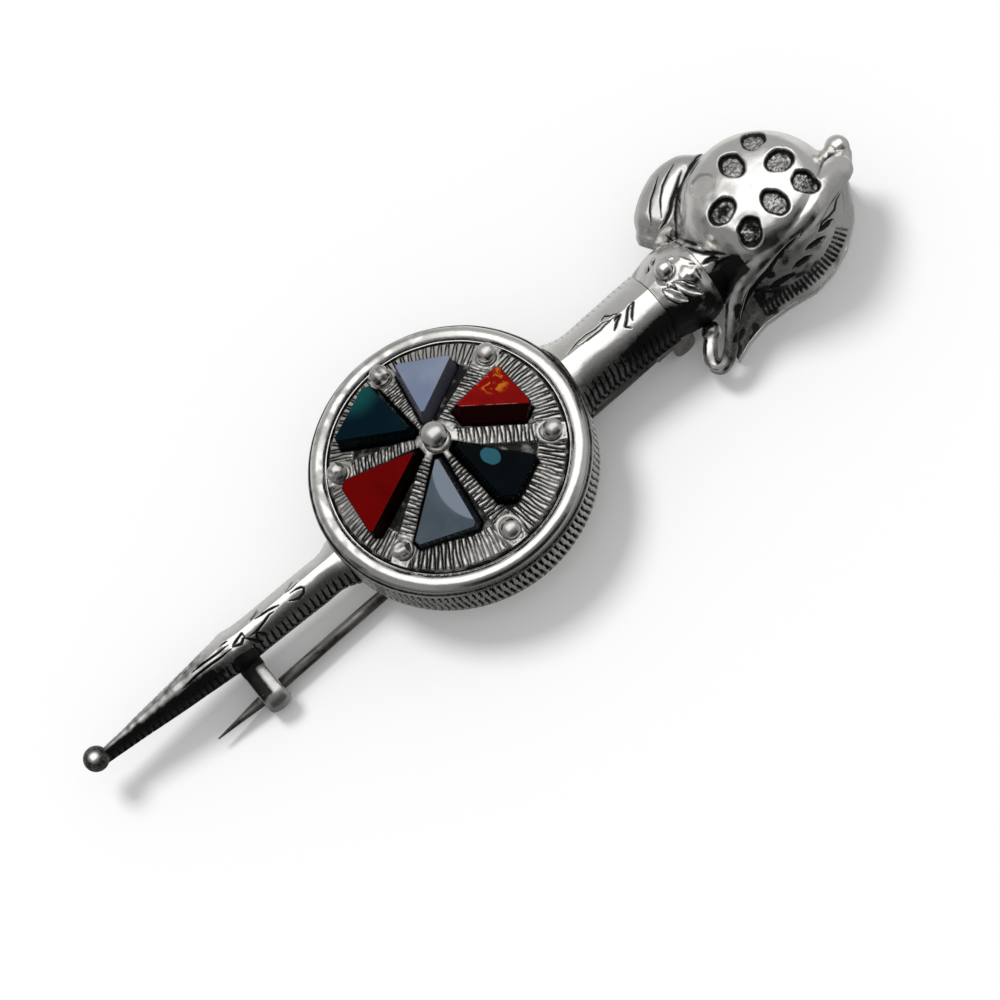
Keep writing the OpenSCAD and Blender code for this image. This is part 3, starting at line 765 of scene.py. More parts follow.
print("halfway across, a stroke is", float(stroke(0, 0.5, [[-1, 0], [1, 0]], 1.0)), "deep")

# %% [markdown]
# The upright sides of sheath and throat carry two rows of slanted ticks, as the case's wall does:
# short ones at the foot and long ones above. They fade on the far side, which is worn.

# %% Cut ticks into the sides
# Each row: foot and head in shares of the height, slant in mm, shift in shares of the pitch
TICK_ROWS = ((0.0, 0.2, 0.1, 0.5), (0.12, 0.76, -0.12, 0.0))


def side_ticks(points, height, seed, pitch):
    """A row of long ticks over a row of short ones on the upright sides of a loft."""
    x = points[..., 0] + uneven(points, 1.3, seed, 0.15)
    level = (points[..., 2] - BACK_Z) / height
    cut = np.zeros(x.shape)
    for low, high, lean, shift in TICK_ROWS:
        share = (level - low) / (high - low)
        place = np.mod((x + lean * share) / pitch + shift, 1) - 0.5
        width = 0.3 - 0.2 * share
        wedge = ramp(np.abs(place) / width, 1, 0.2) * ramp(share, 0, 0.1) * ramp(share, 1, 0.7)
        cut = np.maximum(cut, wedge)
    far = points[..., 1] > 0
    return cut * (0.7 + 0.5 * noise(points, 2.2, seed + 1)) * (1 - 0.65 * far)


LOFT_STEP = 0.062
SHIELD_FADE = 3.0
print("tick rows:", len(TICK_ROWS))

# %% [markdown]
# The lower sheath tapers to its tip. Its crest carries a long engraved leaf, whose strokes are kept
# as places along and across the sheath, and a raised knuckle sits on its near side.

# %% Draw the sheath's leaf
TIP_R = 1.02
SHEATH_L = TIP_REACH - CASE_R - TIP_R
SHEATH_HALF_W = 1.55
SHEATH_H = 3.0
KNUCKLE = (-21.5, -1.05)
KNUCKLE_FOOT = (-21.6, -1.6)
# Each row: share of the length, then of the half width and of the height
SHEATH = [[0, 1.35, 1.04], [0.045, 1.03, 1], [0.12, 1, 0.99], [0.39, 0.95, 0.93],
          [0.42, 0.98, 0.96], [0.45, 1.04, 1], [0.49, 0.97, 0.93], [0.66, 0.75, 0.77],
          [0.85, 0.47, 0.58], [0.96, 0.32, 0.5], [0.99, 0.29, 0.47]]
# Strokes as places (x, y) in millimetres from the shield's centre
LEAF_CUTS = [
    [[-15.89, -0.28], [-15.43, -0.3], [-14.98, -0.45], [-14.85, -0.65], [-15.08, -0.86],
     [-15.61, -0.94], [-16.05, -0.8], [-16.4, -0.62]],
    [[-19.19, -0.05], [-18.6, -0.12], [-17.99, -0.19], [-17.51, -0.31], [-17.14, -0.43]],
    [[-17.72, -0.56], [-18.14, -0.5], [-18.74, -0.65], [-19.65, -0.82], [-20.38, -0.79]],
    [[-16.39, 0.06], [-15.64, 0.32], [-15.05, 0.66]],
    [[-16.18, 0.0], [-15.35, 0.05], [-14.69, 0.18]],
    [[-19.8, 0.04], [-19.05, 0.3], [-18.45, 0.51]],
    [[-19.77, 0.22], [-19.02, 0.5], [-18.45, 0.76]],
    [[-21.9, -0.11], [-22.32, -0.03], [-22.69, 0.01]],
    [[-22.0, -0.42], [-22.96, -0.32], [-24.38, -0.13], [-25.52, -0.09]],
    [[-22.04, -0.75], [-22.92, -0.72], [-23.97, -0.58], [-25.27, -0.49], [-26.86, -0.53]],
    [[-19.8, -0.88], [-19.23, -1.31]], [[-20.75, -0.68], [-20.17, -1.23], [-19.72, -1.49]],
    [[-19.59, -0.7], [-20.16, -1.3]], [[-21.89, -0.67], [-20.7, -0.27], [-20.65, -0.67]],
    [[-20.65, -0.6], [-21.23, -0.82], [-21.89, -0.7]]]
print("strokes on the sheath:", len(LEAF_CUTS))

# %% Make the sheath
sheath_grid, sheath_tall = loft(SHEATH, -CASE_R - GAP, -CASE_R - SHEATH_L, SHEATH_HALF_W, SHEATH_H,
                                LOFT_STEP, SHIELD_FADE)
sheath_normal = grid_normals(sheath_grid)
at_x, at_y = sheath_grid[..., 0], sheath_grid[..., 1]
on_top = sheath_normal[..., 2] > 0.2
knuckle = ramp(np.hypot(at_x - KNUCKLE[0], (at_y - KNUCKLE[1]) / 0.5), 1.1, 0.3)
off_knuckle = 1 - ramp(np.abs(at_x - KNUCKLE_FOOT[0]), 1.1, 0.8) * (at_y < 0)
tick_cut = side_ticks(sheath_grid, sheath_tall, 31, 0.55) * off_knuckle
leaf_cut = strokes(at_x, at_y, LEAF_CUTS, 0.11) * on_top
wear = uneven(sheath_grid, 1.3, 33, 0.05) + uneven(sheath_grid, 0.4, 34, 0.012)
sheath_points = carve(sheath_grid, sheath_normal,
                      wear + 0.22 * knuckle - 0.15 * tick_cut - 0.14 * leaf_cut)
# Painted shade under the raised knuckle, and on the near side, which faces away from the light.
shade_below_knuckle = ramp(np.hypot((at_x - KNUCKLE_FOOT[0]) / 1.3, (at_y - KNUCKLE_FOOT[1]) / 0.35),
                     1.1, 0.6)
faded = 0.6 * ramp(at_x, -22.5, -25.5) * (0.3 + noise(sheath_grid, 0.4, 35))
shaded_side = 0.58 * ramp(sheath_normal[..., 1], -0.4, -0.8)
sheath_tarnish_and_shade = np.clip(tick_cut * 1.4 + leaf_cut * 1.3 + shade_below_knuckle + faded + shaded_side,
                         0, 1)
tip_middle = [SHIELD_X - TIP_REACH + TIP_R, 0, BACK_Z + TIP_R]
tip_points, tip_faces = ball(tip_middle, TIP_R, 24, 44)
# Painted shade darkens the tip ball all over but for a small spot that keeps its glint.
off_glint = np.hypot(tip_points[:, 0] - tip_middle[0], tip_points[:, 1] + 0.2)
tip_shade_round_glint = 0.02 + 0.65 * ramp(off_glint, 0.2, 0.55)
sheath = count(make_piece("sheath_and_tip", *gather([
    close_loft(sheath_points, {"tarnish_and_shade": sheath_tarnish_and_shade}),
    (tip_points, tip_faces, {"tarnish_and_shade": tip_shade_round_glint})]), sharp=50))
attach(sheath, "body")
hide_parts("sheath")

# %% [markdown]
# The throat is made the same way, on the other side of the shield. Three long petals run along it,
# and its near flank turns away from every light, so painted shade darkens it, more towards the
# hilt.

# %% Make the throat
THROAT_END = CASE_R + GAP + 8.7
THROAT_HALF_W = 3.1
THROAT_H = 4.5
THROAT = [[0, 1.14, 0.97], [0.05, 1.04, 0.945], [0.12, 0.95, 0.935], [0.22, 0.91, 0.93],
          [0.6, 0.95, 0.96], [1, 1, 1]]
PETAL_CUTS = [
    [[12.89, 0.26], [13.6, 0.1], [14.41, 0.05], [15.21, 0.01], [15.7, 0.1], [16.39, 0.08],
     [17.16, 0.15]],
    [[11.9, 0.1], [12.36, 0.3], [13.35, 0.62], [14.19, 0.62], [14.97, 0.41], [15.65, 0.48],
     [16.35, 0.12]],
    [[15.5, 0.64], [16.19, 0.9], [16.46, 0.52], [17.16, 0.15]],
    [[17.21, -0.14], [16.68, -0.35], [15.97, -0.83]],
    [[17.15, -0.12], [16.67, -0.1], [16.46, -0.22]],
    [[18.58, -0.05], [18.17, -0.34], [17.62, -0.95], [17.54, -1.17]],
    [[18.54, -0.05], [18.08, -0.01], [17.71, -0.3], [17.17, -0.86], [16.81, -1.12],
     [17.11, -1.49]]]
throat_grid, throat_tall = loft(THROAT, CASE_R + GAP, THROAT_END, THROAT_HALF_W, THROAT_H,
                                LOFT_STEP, SHIELD_FADE)
throat_normal = grid_normals(throat_grid)
at_x, at_y = throat_grid[..., 0], throat_grid[..., 1]
tick_cut = side_ticks(throat_grid, throat_tall, 41, 0.54)
petal_cut = strokes(at_x, at_y, PETAL_CUTS, 0.15) * (throat_normal[..., 2] > 0.2)
throat_points = carve(throat_grid, throat_normal,
                      uneven(throat_grid, 1.5, 43, 0.05) - 0.17 * tick_cut - 0.15 * petal_cut)
flank_shade = ramp(at_y, -1.25, -2.5) * (0.66 + 0.3 * ramp(at_x, 14, 19))
throat_tarnish_and_shade = np.clip(tick_cut * 1.4 + petal_cut * 1.2 + flank_shade, 0, 1)
throat = count(make_piece("throat_shell", *gather([
    close_loft(throat_points, {"tarnish_and_shade": throat_tarnish_and_shade})]), sharp=50))
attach(throat, "body")
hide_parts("throat")

# %% [markdown]
# The collar swells towards its middle and carries a round stud between raised leaves. The leaves,
# the scallops and the slots are wide strokes; a leaf is lifted and a slot is sunk, and the line
# where a leaf begins holds the black.

# %% Draw the collar
COLLAR_START = THROAT_END + GAP
COLLAR_L = 4.2
COLLAR_HALF_W = 3.5
COLLAR_H = 5.1
COLLAR = [[0, 0.82, 0.9], [0.12, 0.87, 0.94], [0.35, 0.95, 0.99], [0.6, 1, 1],
          [0.8, 0.98, 0.98], [1, 0.9, 0.92]]
LEAVES = [[[21.73, -1.15], [22.29, -2.1], [22.98, -2.79]],
          [[20.8, -1.04], [21.28, -1.9], [21.77, -2.54]]]
SCALLOPS = [[[22.16, 1.07], [22.49, 1.0], [22.83, 0.8], [23.0, 0.5]],
            [[23.3, 0.3], [23.5, -0.3], [23.9, -0.9]], [[21.2, 0.4], [21.1, -0.3], [21.3, -0.9]]]
SLOTS = [[[20.78, 1.33], [21.11, 1.55], [21.32, 1.83]], [[21.6, 1.5], [21.8, 1.8], [22.15, 2.05]]]
LUMP = (23.1, -1.35)
collar_grid, _ = loft(COLLAR, COLLAR_START, COLLAR_START + COLLAR_L, COLLAR_HALF_W, COLLAR_H,
                      0.055)
collar_normal = grid_normals(collar_grid)
at_x, at_y = collar_grid[..., 0], collar_grid[..., 1]
on_top = collar_normal[..., 2] > 0.1
leaf = strokes(at_x, at_y, LEAVES, 0.5) * on_top
around_leaf = ramp(leaf, 0.0, 0.06) * ramp(leaf, 0.3, 0.14)
scallop = strokes(at_x, at_y, SCALLOPS, 0.3) * on_top
slot = strokes(at_x, at_y, SLOTS, 0.2) * on_top
lump_reach = np.hypot(at_x - LUMP[0], (at_y - LUMP[1]) / 0.85)
lump = ramp(lump_reach + uneven(collar_grid, 0.5, 54, 0.5), 1.05, 0.1)
print("collar from", round(COLLAR_START, 2), "to", round(COLLAR_START + COLLAR_L, 2), "mm")

# %% Make the collar
STUD_X = COLLAR_START + 0.42 * COLLAR_L
STUD_R = 0.8
wear = uneven(collar_grid, 1.2, 53, 0.12) + uneven(collar_grid, 0.45, 55, 0.04)
lump_rise = lump * (0.2 + uneven(collar_grid, 0.3, 56, 0.12))
leaf_rise = 0.24 * ramp(leaf, 0.1, 0.45) - 0.1 * ramp(leaf, 0.5, 0.9) - 0.1 * around_leaf
collar_points = carve(collar_grid, collar_normal,
                      wear + leaf_rise + 0.16 * scallop - 0.2 * slot + lump_rise)
stud_ring = ramp(np.abs(np.hypot(at_x - STUD_X, at_y) - STUD_R), 0.16, 0.0) * on_top
# Painted shade on the collar's near flank, which faces away from the light.
collar_flank_shade = ramp(at_y + 0.35 * (at_x - 22), -1.9, -2.9) * ramp(leaf, 0.15, 0.05)
collar_flank_shade = collar_flank_shade * (0.6 + 0.5 * noise(collar_grid, 0.7, 58))
mottled_darkening = 0.3 * ramp(noise(collar_grid, 0.9, 57), 0.4, 0.8)
collar_tarnish_and_shade = np.clip(0.95 * around_leaf + slot + 0.6 * stud_ring + collar_flank_shade + mottled_darkening, 0, 1)
# Painted shade on the stud's lower half.
stud_points, stud_faces = ball([STUD_X + SHIELD_X, 0, BACK_Z + COLLAR_H + 0.28], STUD_R, 22, 40)
collar = count(make_piece("collar_shell", *gather([
    close_loft(collar_points, {"tarnish_and_shade": collar_tarnish_and_shade}),
    (stud_points, stud_faces, {"tarnish_and_shade": ramp(stud_points[:, 2], 8.0, 7.7)})]), sharp=50))
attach(collar, "body")
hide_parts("collar")

# %% [markdown]
# ## The cast hilt
#
# The basket hilt was cast: a pitted dome, a knuckle bow that sweeps over its side and curls under,
# a leaf-shaped guard outside the bow, a curled petal on the far side and a round pommel. A casting
# has no seams and soft corners. It could be sculpted by hand, or joined by booleans that leave
# every corner sharp. Instead the forms are roughed out one by one and remeshed into a single skin
# of small even cells, which is smoothed and then cut with its pits and slits.

# %% Sweep along a path
BASKET_HALF = np.array([6.7, 6.4, 6.0])
BASKET_H = 10.0
COLLAR_END = COLLAR_START + COLLAR_L
BASKET_X = COLLAR_END + GAP + BASKET_HALF[0]
BASKET_SHIFT = 0.5
BELLY_Z = 4.0
HILT_FOOT = 0.65


def spline(rows, count_out):
    """A smooth run of a table's rows: Catmull-Rom through all of them."""
    rows = np.asarray(rows, float)
    padded = np.vstack([2 * rows[0] - rows[1], rows, 2 * rows[-1] - rows[-2]])
    place = np.linspace(0, len(rows) - 1, count_out)
    i = np.minimum(place.astype(int), len(rows) - 2)
    t = (place - i)[:, None]
    p0, p1, p2, p3 = padded[i], padded[i + 1], padded[i + 2], padded[i + 3]
    return 0.5 * (2 * p1 + (p2 - p0) * t + (2 * p0 - 5 * p1 + 4 * p2 - p3) * t ** 2
                  + (3 * p1 - p0 - 3 * p2 + p3) * t ** 3)


def in_basket(u, v, q):
    """A place in shares of the basket's half length, half width and height."""
    return np.stack([BASKET_X + u * BASKET_HALF[0], v * BASKET_HALF[1], q * BASKET_H], -1)


def swept(path, out, inward, up, around=24):
    """Rings of an oval section along a path, with rounded ends; closed as one shell."""
    heading = np.gradient(path, axis=0)
    heading /= np.linalg.norm(heading, axis=1, keepdims=True)
    level = np.cross([0, 0, 1.0], heading)
    level /= np.linalg.norm(level, axis=1, keepdims=True)
    above = np.cross(heading, level)
    turn = np.linspace(0, 2 * math.pi, around, endpoint=False)
    reach = np.where(np.cos(turn)[None, :] > 0, inward[:, None], out[:, None])
    rings = (path[:, None] + level[:, None] * (np.cos(turn)[None, :] * reach)[..., None]
             + above[:, None] * (np.sin(turn)[None, :] * up[:, None])[..., None])
    caps = []
    for end, sign in ((0, -1), (-1, 1)):
        for share in (0.9, 0.55):
            push = math.sqrt(1 - share * share) * up[end]
            caps.append(path[end] + (rings[end] - path[end]) * share + heading[end] * sign * push)
    rings = np.concatenate([[caps[1]], [caps[0]], rings, [caps[2]], [caps[3]]])
    return close_loft(rings, {})


def tapered(start, end, first, last):
    """A round bar from one place to another, with a radius at each end."""
    reach = np.linspace(first, last, 12)
    return swept(np.linspace(start, end, 12), reach, reach, reach)


print("basket's middle at", in_basket(0, 0, BELLY_Z / BASKET_H).round(2))

# %% [markdown]
# The bow, the petal and the guard follow tables. Each row is a place in shares of the basket's half
# length, half width and height, so the forms stay on the basket if its size changes, and a smooth
# curve runs through the rows.

# %% Tables of the bow, the petal and the guard
# Share of half length, half width and height, then the radius as a share of BOW_R
BOW = [[0.97, -0.26, 0.60, 0.9], [0.56, -0.42, 0.73, 1], [0.19, -0.58, 0.76, 0.98],
       [-0.24, -0.58, 0.72, 0.85], [-0.64, -0.58, 0.60, 0.68], [-0.85, -0.62, 0.50, 0.58],
       [-1.07, -0.78, 0.40, 0.48], [-1.2, -0.9, 0.33, 0.44], [-1.34, -1.02, 0.26, 0.44],
       [-1.49, -1.05, 0.20, 0.46], [-1.52, -0.87, 0.18, 0.48], [-1.31, -0.62, 0.22, 0.46]]
# The same, then the reach inward and outward as shares of SCROLL_R
SCROLL = [[-1.12, 0.78, 0.4, 0.95, 1.6], [-0.98, 0.86, 0.43, 1.5, 2.4],
          [-0.76, 0.95, 0.45, 1.8, 2.6], [-0.54, 1.03, 0.46, 1.85, 2.6],
          [-0.33, 1.06, 0.46, 1.6, 2.2], [-0.13, 1.02, 0.46, 1.0, 1.5]]
# Half length; half width for its foot, edge, upper line and root; height for edge and upper line
GUARD = [[1.15, -0.12, -0.1, 0.02, 0.08, 0.46, 0.52], [0.92, -0.5, -0.44, -0.2, 0, 0.36, 0.56],
         [0.58, -0.78, -0.68, -0.42, 0, 0.31, 0.6], [0.28, -0.91, -0.83, -0.55, 0, 0.3, 0.6],
         [-0.03, -0.96, -0.89, -0.58, 0, 0.3, 0.57], [-0.39, -0.9, -0.85, -0.58, 0, 0.3, 0.52],
         [-0.73, -0.88, -0.81, -0.62, -0.2, 0.28, 0.44],
         [-1.02, -0.94, -0.87, -0.76, -0.6, 0.22, 0.31],
         [-1.26, -1.04, -0.99, -0.94, -0.84, 0.15, 0.21]]
BOW_R = 1.3
SCROLL_R = 1.15
SCROLL_FLAT = 1.55
bow_rows = spline(BOW, 90)
bow_path = in_basket(*bow_rows[:, :3].T)
bow_reach = BOW_R * bow_rows[:, 3]
bow_form = swept(bow_path, bow_reach, bow_reach, bow_reach)
scroll_rows = spline(SCROLL, 50)
inward, outward = SCROLL_R * scroll_rows[:, 3:].T
scroll_form = swept(in_basket(*scroll_rows[:, :3].T), outward, inward,
                    np.minimum(inward, SCROLL_R * SCROLL_FLAT))

guard_rows = spline(GUARD, 80)
guard_x = BASKET_X + guard_rows[:, 0] * BASKET_HALF[0]
foot_y, lip_y, line_y, root_y = guard_rows[:, 1:5].T * BASKET_HALF[1]
lip_z, line_z = guard_rows[:, 5:].T * BASKET_H
root_y = np.maximum(root_y, line_y)
foot_z = np.full(len(guard_rows), HILT_FOOT)
crown_z = (line_z + lip_z) / 2 + 0.25
guard_lines = ((foot_y, foot_z), (root_y, foot_z), (root_y, line_z), (line_y, line_z),
               ((line_y + lip_y) / 2, crown_z), (lip_y, lip_z))
guard_form = close_loft(np.stack([np.stack([guard_x, y, z], -1) for y, z in guard_lines], 1), {})
print("bow from x", round(float(bow_path[:, 0].min()), 1), "to",
      round(float(bow_path[:, 0].max()), 1))

# %% [markdown]
# The basket is blunter than half an ellipsoid: full at its shoulders, round at its crown. A power
# above 2 in place of Pythagoras gives the blunt shape, and a ramp lets the crown stay round.

# %% Rough out the basket and the pommel
POMMEL_R = 1.0
POMMEL_Z = 5.7
DOME_BLUNT = 2.7
DOME_FOOT = [(0.985, 3.0), (0.95, 2.1), (0.9, 1.4), (0.9, HILT_FOOT)]
CURL_END = (-1.31, -0.62, 0.22)
JOINT = [[0, 0.86, 0.9], [1, 0.86, 0.9]]
dome_rows = []
for lift in np.linspace(math.pi / 2 - 0.02, 0, 36):
    reach = math.cos(lift)
    blunt = (1 - reach ** DOME_BLUNT) ** (1 / DOME_BLUNT)
    share = math.sin(lift) + (blunt - math.sin(lift)) * float(ramp(reach, 0.97, 0.62))
    dome_rows.append((reach, BELLY_Z + BASKET_HALF[2] * share))
dome_turn = np.linspace(0, 2 * math.pi, 96, endpoint=False)
dome_grid = np.array([[[BASKET_X + w * BASKET_HALF[0] * math.cos(t),
                        BASKET_SHIFT + w * BASKET_HALF[1] * math.sin(t), z] for t in dome_turn]
                      for w, z in dome_rows + DOME_FOOT])
dome_form = close_loft(dome_grid, {})
pommel_middle = np.array([POMMEL_REACH - POMMEL_R, 0, POMMEL_Z])
pommel_form = (*ball(pommel_middle, POMMEL_R, 20, 32), {})
neck_form = tapered([BASKET_X + BASKET_HALF[0] * 0.6, 0, POMMEL_Z],
                    pommel_middle - [POMMEL_R, 0, 0.3], 1.5, 0.75)
web_form = tapered(bow_path[0], pommel_middle + [0.1, -0.55, -0.45], 1.1, 0.7)
curl_form = (*ball(in_basket(*CURL_END), 0.8), {})
joint_form = close_loft(loft(JOINT, COLLAR_END + GAP, BASKET_X, COLLAR_HALF_W, COLLAR_H, 0.5)[0],
                        {})
rough = make_piece("hilt_casting", *gather([bow_form, scroll_form, guard_form, dome_form,
                                            pommel_form, neck_form, joint_form, curl_form,
                                            web_form]))
print("nine rough forms of", len(rough.data.polygons), "faces")

# %% [markdown]
# The remesh turns the overlapping forms into one skin. A few rounds of smoothing round off the
# corners where they meet, as molten silver does. What a punch or graver cut after casting comes
# later, so that it stays crisp.

# %% Cast the hilt into one skin
HILT_CELL = 0.1
remesh = rough.modifiers.new("skin", "REMESH")
remesh.mode = "VOXEL"
remesh.voxel_size = HILT_CELL * MM
soften = rough.modifiers.new("soften", "SMOOTH")
soften.factor = 0.5
soften.iterations = 5
bpy.context.view_layer.update()
cast = bpy.data.meshes.new_from_object(rough.evaluated_get(bpy.context.evaluated_depsgraph_get()))
bpy.data.objects.remove(rough)
cast_points = np.zeros(len(cast.vertices) * 3)
cast.vertices.foreach_get("co", cast_points)
cast_points = cast_points.reshape(-1, 3) / MM
cast_normals = np.array([v.normal for v in cast.vertices])
print("casting has", len(cast_points), "points")

# %% [markdown]
# Tarnish gathers in hollow corners. A bake of ambient occlusion would find them, but it needs an
# image. Averaging each point with its neighbours a few times gives the same answer: where the
# averaged point lies outside the metal, the surface is hollow.

# %% Find the hollows of the casting
EASE_ROUNDS = 14
pairs = np.zeros(len(cast.edges) * 2, int)
cast.edges.foreach_get("vertices", pairs)
pairs = pairs.reshape(-1, 2)
both = np.concatenate([pairs, pairs[:, ::-1]])
neighbours = np.bincount(both[:, 0], minlength=len(cast_points))[:, None]
eased = cast_points.copy()
for _ in range(EASE_ROUNDS):
    total = np.stack([np.bincount(both[:, 0], eased[both[:, 1], axis], len(eased))
                      for axis in range(3)], -1)
    eased = total / neighbours
hollow = ramp(np.sum((eased - cast_points) * cast_normals, axis=1), 0.012, 0.07)
print("hollows cover", round(100 * float(hollow.mean()), 1), "% of the casting")

# %% [markdown]
# Eight oval pits lie round the dome. Each is an ellipse in the plane that touches the dome at its
# spot. Noise makes its rim ragged, and the floor of the deep ones is grainy, as the cast left it.

# %% Cut the pits
PIT_LONG = 1.2
PIT_SHORT = 0.95
PIT_REACH = 1.7
# Shares of a pit's own radius: where its edge starts and ends, and where its wall is
PIT_EDGE = (1.08, 0.84)
PIT_WALL_AT = 0.93
DEEP = 0.3
# Each row: azimuth and elevation in degrees, depth in millimetres
PITS = [[95, 72, 0.5], [-4, 66, 0.5], [-42, 53, 0.5], [-84, 66, 0.5], [-172, 63, 0.5],
        [-129, 54, 0.5], [49, 57, 0.4], [137, 56, 0.2]]
pit_depth, pit_wall, pit_floor = np.zeros((3, len(cast_points)))
for azimuth, elevation, depth in PITS:
    a, e = math.radians(azimuth), math.radians(elevation)
    out = np.array([math.cos(e) * math.cos(a), math.cos(e) * math.sin(a), math.sin(e)])
    down = np.array([math.sin(e) * math.cos(a), math.sin(e) * math.sin(a), -math.cos(e)])
    away = cast_points - [BASKET_X, BASKET_SHIFT, BELLY_Z] - out * BASKET_HALF
    reach = np.hypot((away @ down) / PIT_LONG, (away @ np.cross(out, down)) / PIT_SHORT)
    ragged = reach + uneven(cast_points, 0.6, 61, 0.22)
    near = np.abs(away @ out) < PIT_REACH
    share = ramp(ragged, *PIT_EDGE) * near
    wall_share = ramp(np.abs(ragged - PIT_WALL_AT), 0.17, 0.04) * near
    pit_depth = np.maximum(pit_depth, depth * share)
    pit_floor = np.maximum(pit_floor, share * (depth > DEEP))
    pit_wall = np.maximum(pit_wall, wall_share * (depth > DEEP))
grains = (noise(cast_points, 0.17, 63) - 0.45) * 0.26 * pit_floor
print("pits:", len(PITS), "the deepest", round(float(pit_depth.max()), 2), "mm")

# %% [markdown]
# The petal, the guard and the joint with the collar carry creases and slits on a surface that
# bends in every direction, where places along and across say little. They are drawn in the picture
# as seen by the camera, column and row, and cut into the metal that faces it.

# %% Draw the creases and slits
THICK = [[[681.4, 170.7], [678.4, 178.0], [675.5, 189.0], [671.8, 200.0], [670.0, 211.0],
          [665.2, 222.8], [659.3, 229.4]],
         [[685.1, 246.8], [695.0, 249.9], [703.5, 253.0], [714.2, 253.7], [725.6, 254.5]],
         [[702.7, 264.4], [710.3, 259.1], [718.0, 258.3]],
         [[713.4, 270.6], [720.3, 262.9], [729.5, 259.1]],
         [[800.2, 234.4], [788.4, 245.3], [778.5, 257.2], [767.6, 272.0], [754.8, 284.9],
          [746.9, 296.7], [742.9, 308.6], [739.0, 322.0]]]
THIN = [[[657.9, 176.5], [654.2, 189.0], [650.5, 200.0], [649.7, 211.0], [651.3, 225.0]],
        [[674.0, 163.3], [668.2, 172.9], [662.3, 186.1], [660.1, 200.0], [661.5, 218.4]],
        [[699.7, 159.7], [694.6, 165.5], [688.7, 175.8]],
        [[706.0, 151.0], [697.0, 157.0], [690.0, 166.0], [684.0, 178.0]],
        [[675.5, 195.6], [679.2, 200.0], [679.9, 204.4]],
        [[666.0, 235.2], [671.1, 239.6], [681.4, 246.2]],
        [[819.0, 232.5], [822.0, 222.6], [828.9, 216.7], [834.8, 209.8], [836.8, 199.9],
         [840.7, 193.0]]]
SLITS = [[[832.5, 219.3], [826.0, 225.8], [819.0, 232.3]],
         [[824.6, 236.9], [815.2, 243.7], [805.6, 250.4]],
         [[810.8, 255.7], [802.2, 261.6], [793.5, 267.6]],
         [[793.3, 274.0], [781.7, 280.9], [770.1, 287.2]], [[757.2, 292.6], [760.2, 291.0]]]
WALL = [[844.5, 200], [843.8, 218], [841.5, 232], [837, 245], [829.5, 258], [819, 270.5],
        [803, 284.5], [786, 295.5], [772, 303.5], [758, 312]]
WALL_HALF = 7.0
WALL_START = (24, 34)
NICK_STEP = 5.3
pic_x, pic_y = drawn(cast_points)
seen = ramp(cast_normals @ np.array(back), 0.02, 0.2)
thick = strokes(pic_x, pic_y, THICK, 3.0) * seen
thin = strokes(pic_x, pic_y, THIN, 1.6) * seen
slit = ramp(strokes(pic_x, pic_y, SLITS, 3.2), 0.05, 0.55) * seen
wall_run, wall_off, wall_length = nearest(pic_x, pic_y, WALL)
nick = ramp(np.abs(np.mod(wall_run / NICK_STEP, 1) - 0.5), 0.34, 0.1)
nick = nick * ramp(wall_off, WALL_HALF, WALL_HALF - 1.5) * ramp(wall_run, *WALL_START) * seen
nick = nick * ramp(wall_run, wall_length - 2, wall_length - 14)
print("wall nicks:", round(wall_length / NICK_STEP))

# %% [markdown]
# Some of the black belongs to no cut. The guard's underside and one face of the petal get painted
# shade, with a streak of the petal left bare where its highlight falls, and the dome is darker and
# mottled towards its lower left. These are wide soft strokes in the same picture.

# %% Shade the casting
GUARD_SHADE = [[842, 190], [838, 222], [826, 246], [800, 268], [775, 288], [752, 312], [740, 350]]
GUARD_DARKENS = (225, 300)
PETAL_SHADE = [[682, 165], [668, 180], [655, 205], [650, 232]]
PETAL_SHINE = [[679, 168], [671, 182], [664, 200], [662, 212]]
CURL_SPOT = (711, 327)
MOTTLE_COLUMN = 740
MOTTLE_ROWS = (150, 240)
MOTTLE_SLANT = 0.6
# Painted shade by the joint with the collar: its length, and where it fades across and in height
JOINT_LONG = 2.6
JOINT_FAR = (-1.4, -2.6)
JOINT_NEAR = (-4.2, -3.6)
JOINT_TOP = (8.2, 7.2)
guard_shade = (ramp(nearest(pic_x, pic_y, GUARD_SHADE)[1], 24, 12)
               * (0.22 + 0.4 * ramp(pic_y, *GUARD_DARKENS)))
petal_off = nearest(pic_x, pic_y, PETAL_SHADE)[1]
petal_shade = 0.16 * ramp(petal_off, 26, 16) * (1 - stroke(pic_x, pic_y, PETAL_SHINE, 7.0))
# Darker and mottled towards the lower left of the dome.
mottled_darkening = (0.45 * ramp(noise(cast_points, 0.7, 68), 0.45, 0.85) * ramp(petal_off, 18, 30)
         * ramp(pic_y - MOTTLE_SLANT * (pic_x - MOTTLE_COLUMN), *MOTTLE_ROWS))
curl = ramp(np.hypot(pic_x - CURL_SPOT[0], pic_y - CURL_SPOT[1]), 13, 7) * seen
joint_shade = ((cast_points[:, 0] < COLLAR_END + JOINT_LONG) * ramp(cast_points[:, 1], *JOINT_FAR)
         * ramp(cast_points[:, 1], *JOINT_NEAR) * ramp(cast_points[:, 2], *JOINT_TOP))
cast_tarnish_and_shade = np.clip(pit_wall * 0.65 + pit_floor * (0.2 + 0.5 * noise(cast_points, 0.2, 64))
                       + 1.1 * thick + 1.1 * thin + slit * 1.3 + nick * 0.85 + hollow * 0.7
                       + joint_shade + curl * 0.35 + seen * (guard_shade + petal_shade + mottled_darkening), 0, 1)
print("tarnish covers", round(100 * float(cast_tarnish_and_shade.mean())), "% of the casting")

# %% [markdown]
# Every pit, crease, slit and nick is now a depth at each point. One move along the normals cuts
# them all, and noise adds the small dents of wear and the rough end of the curl.

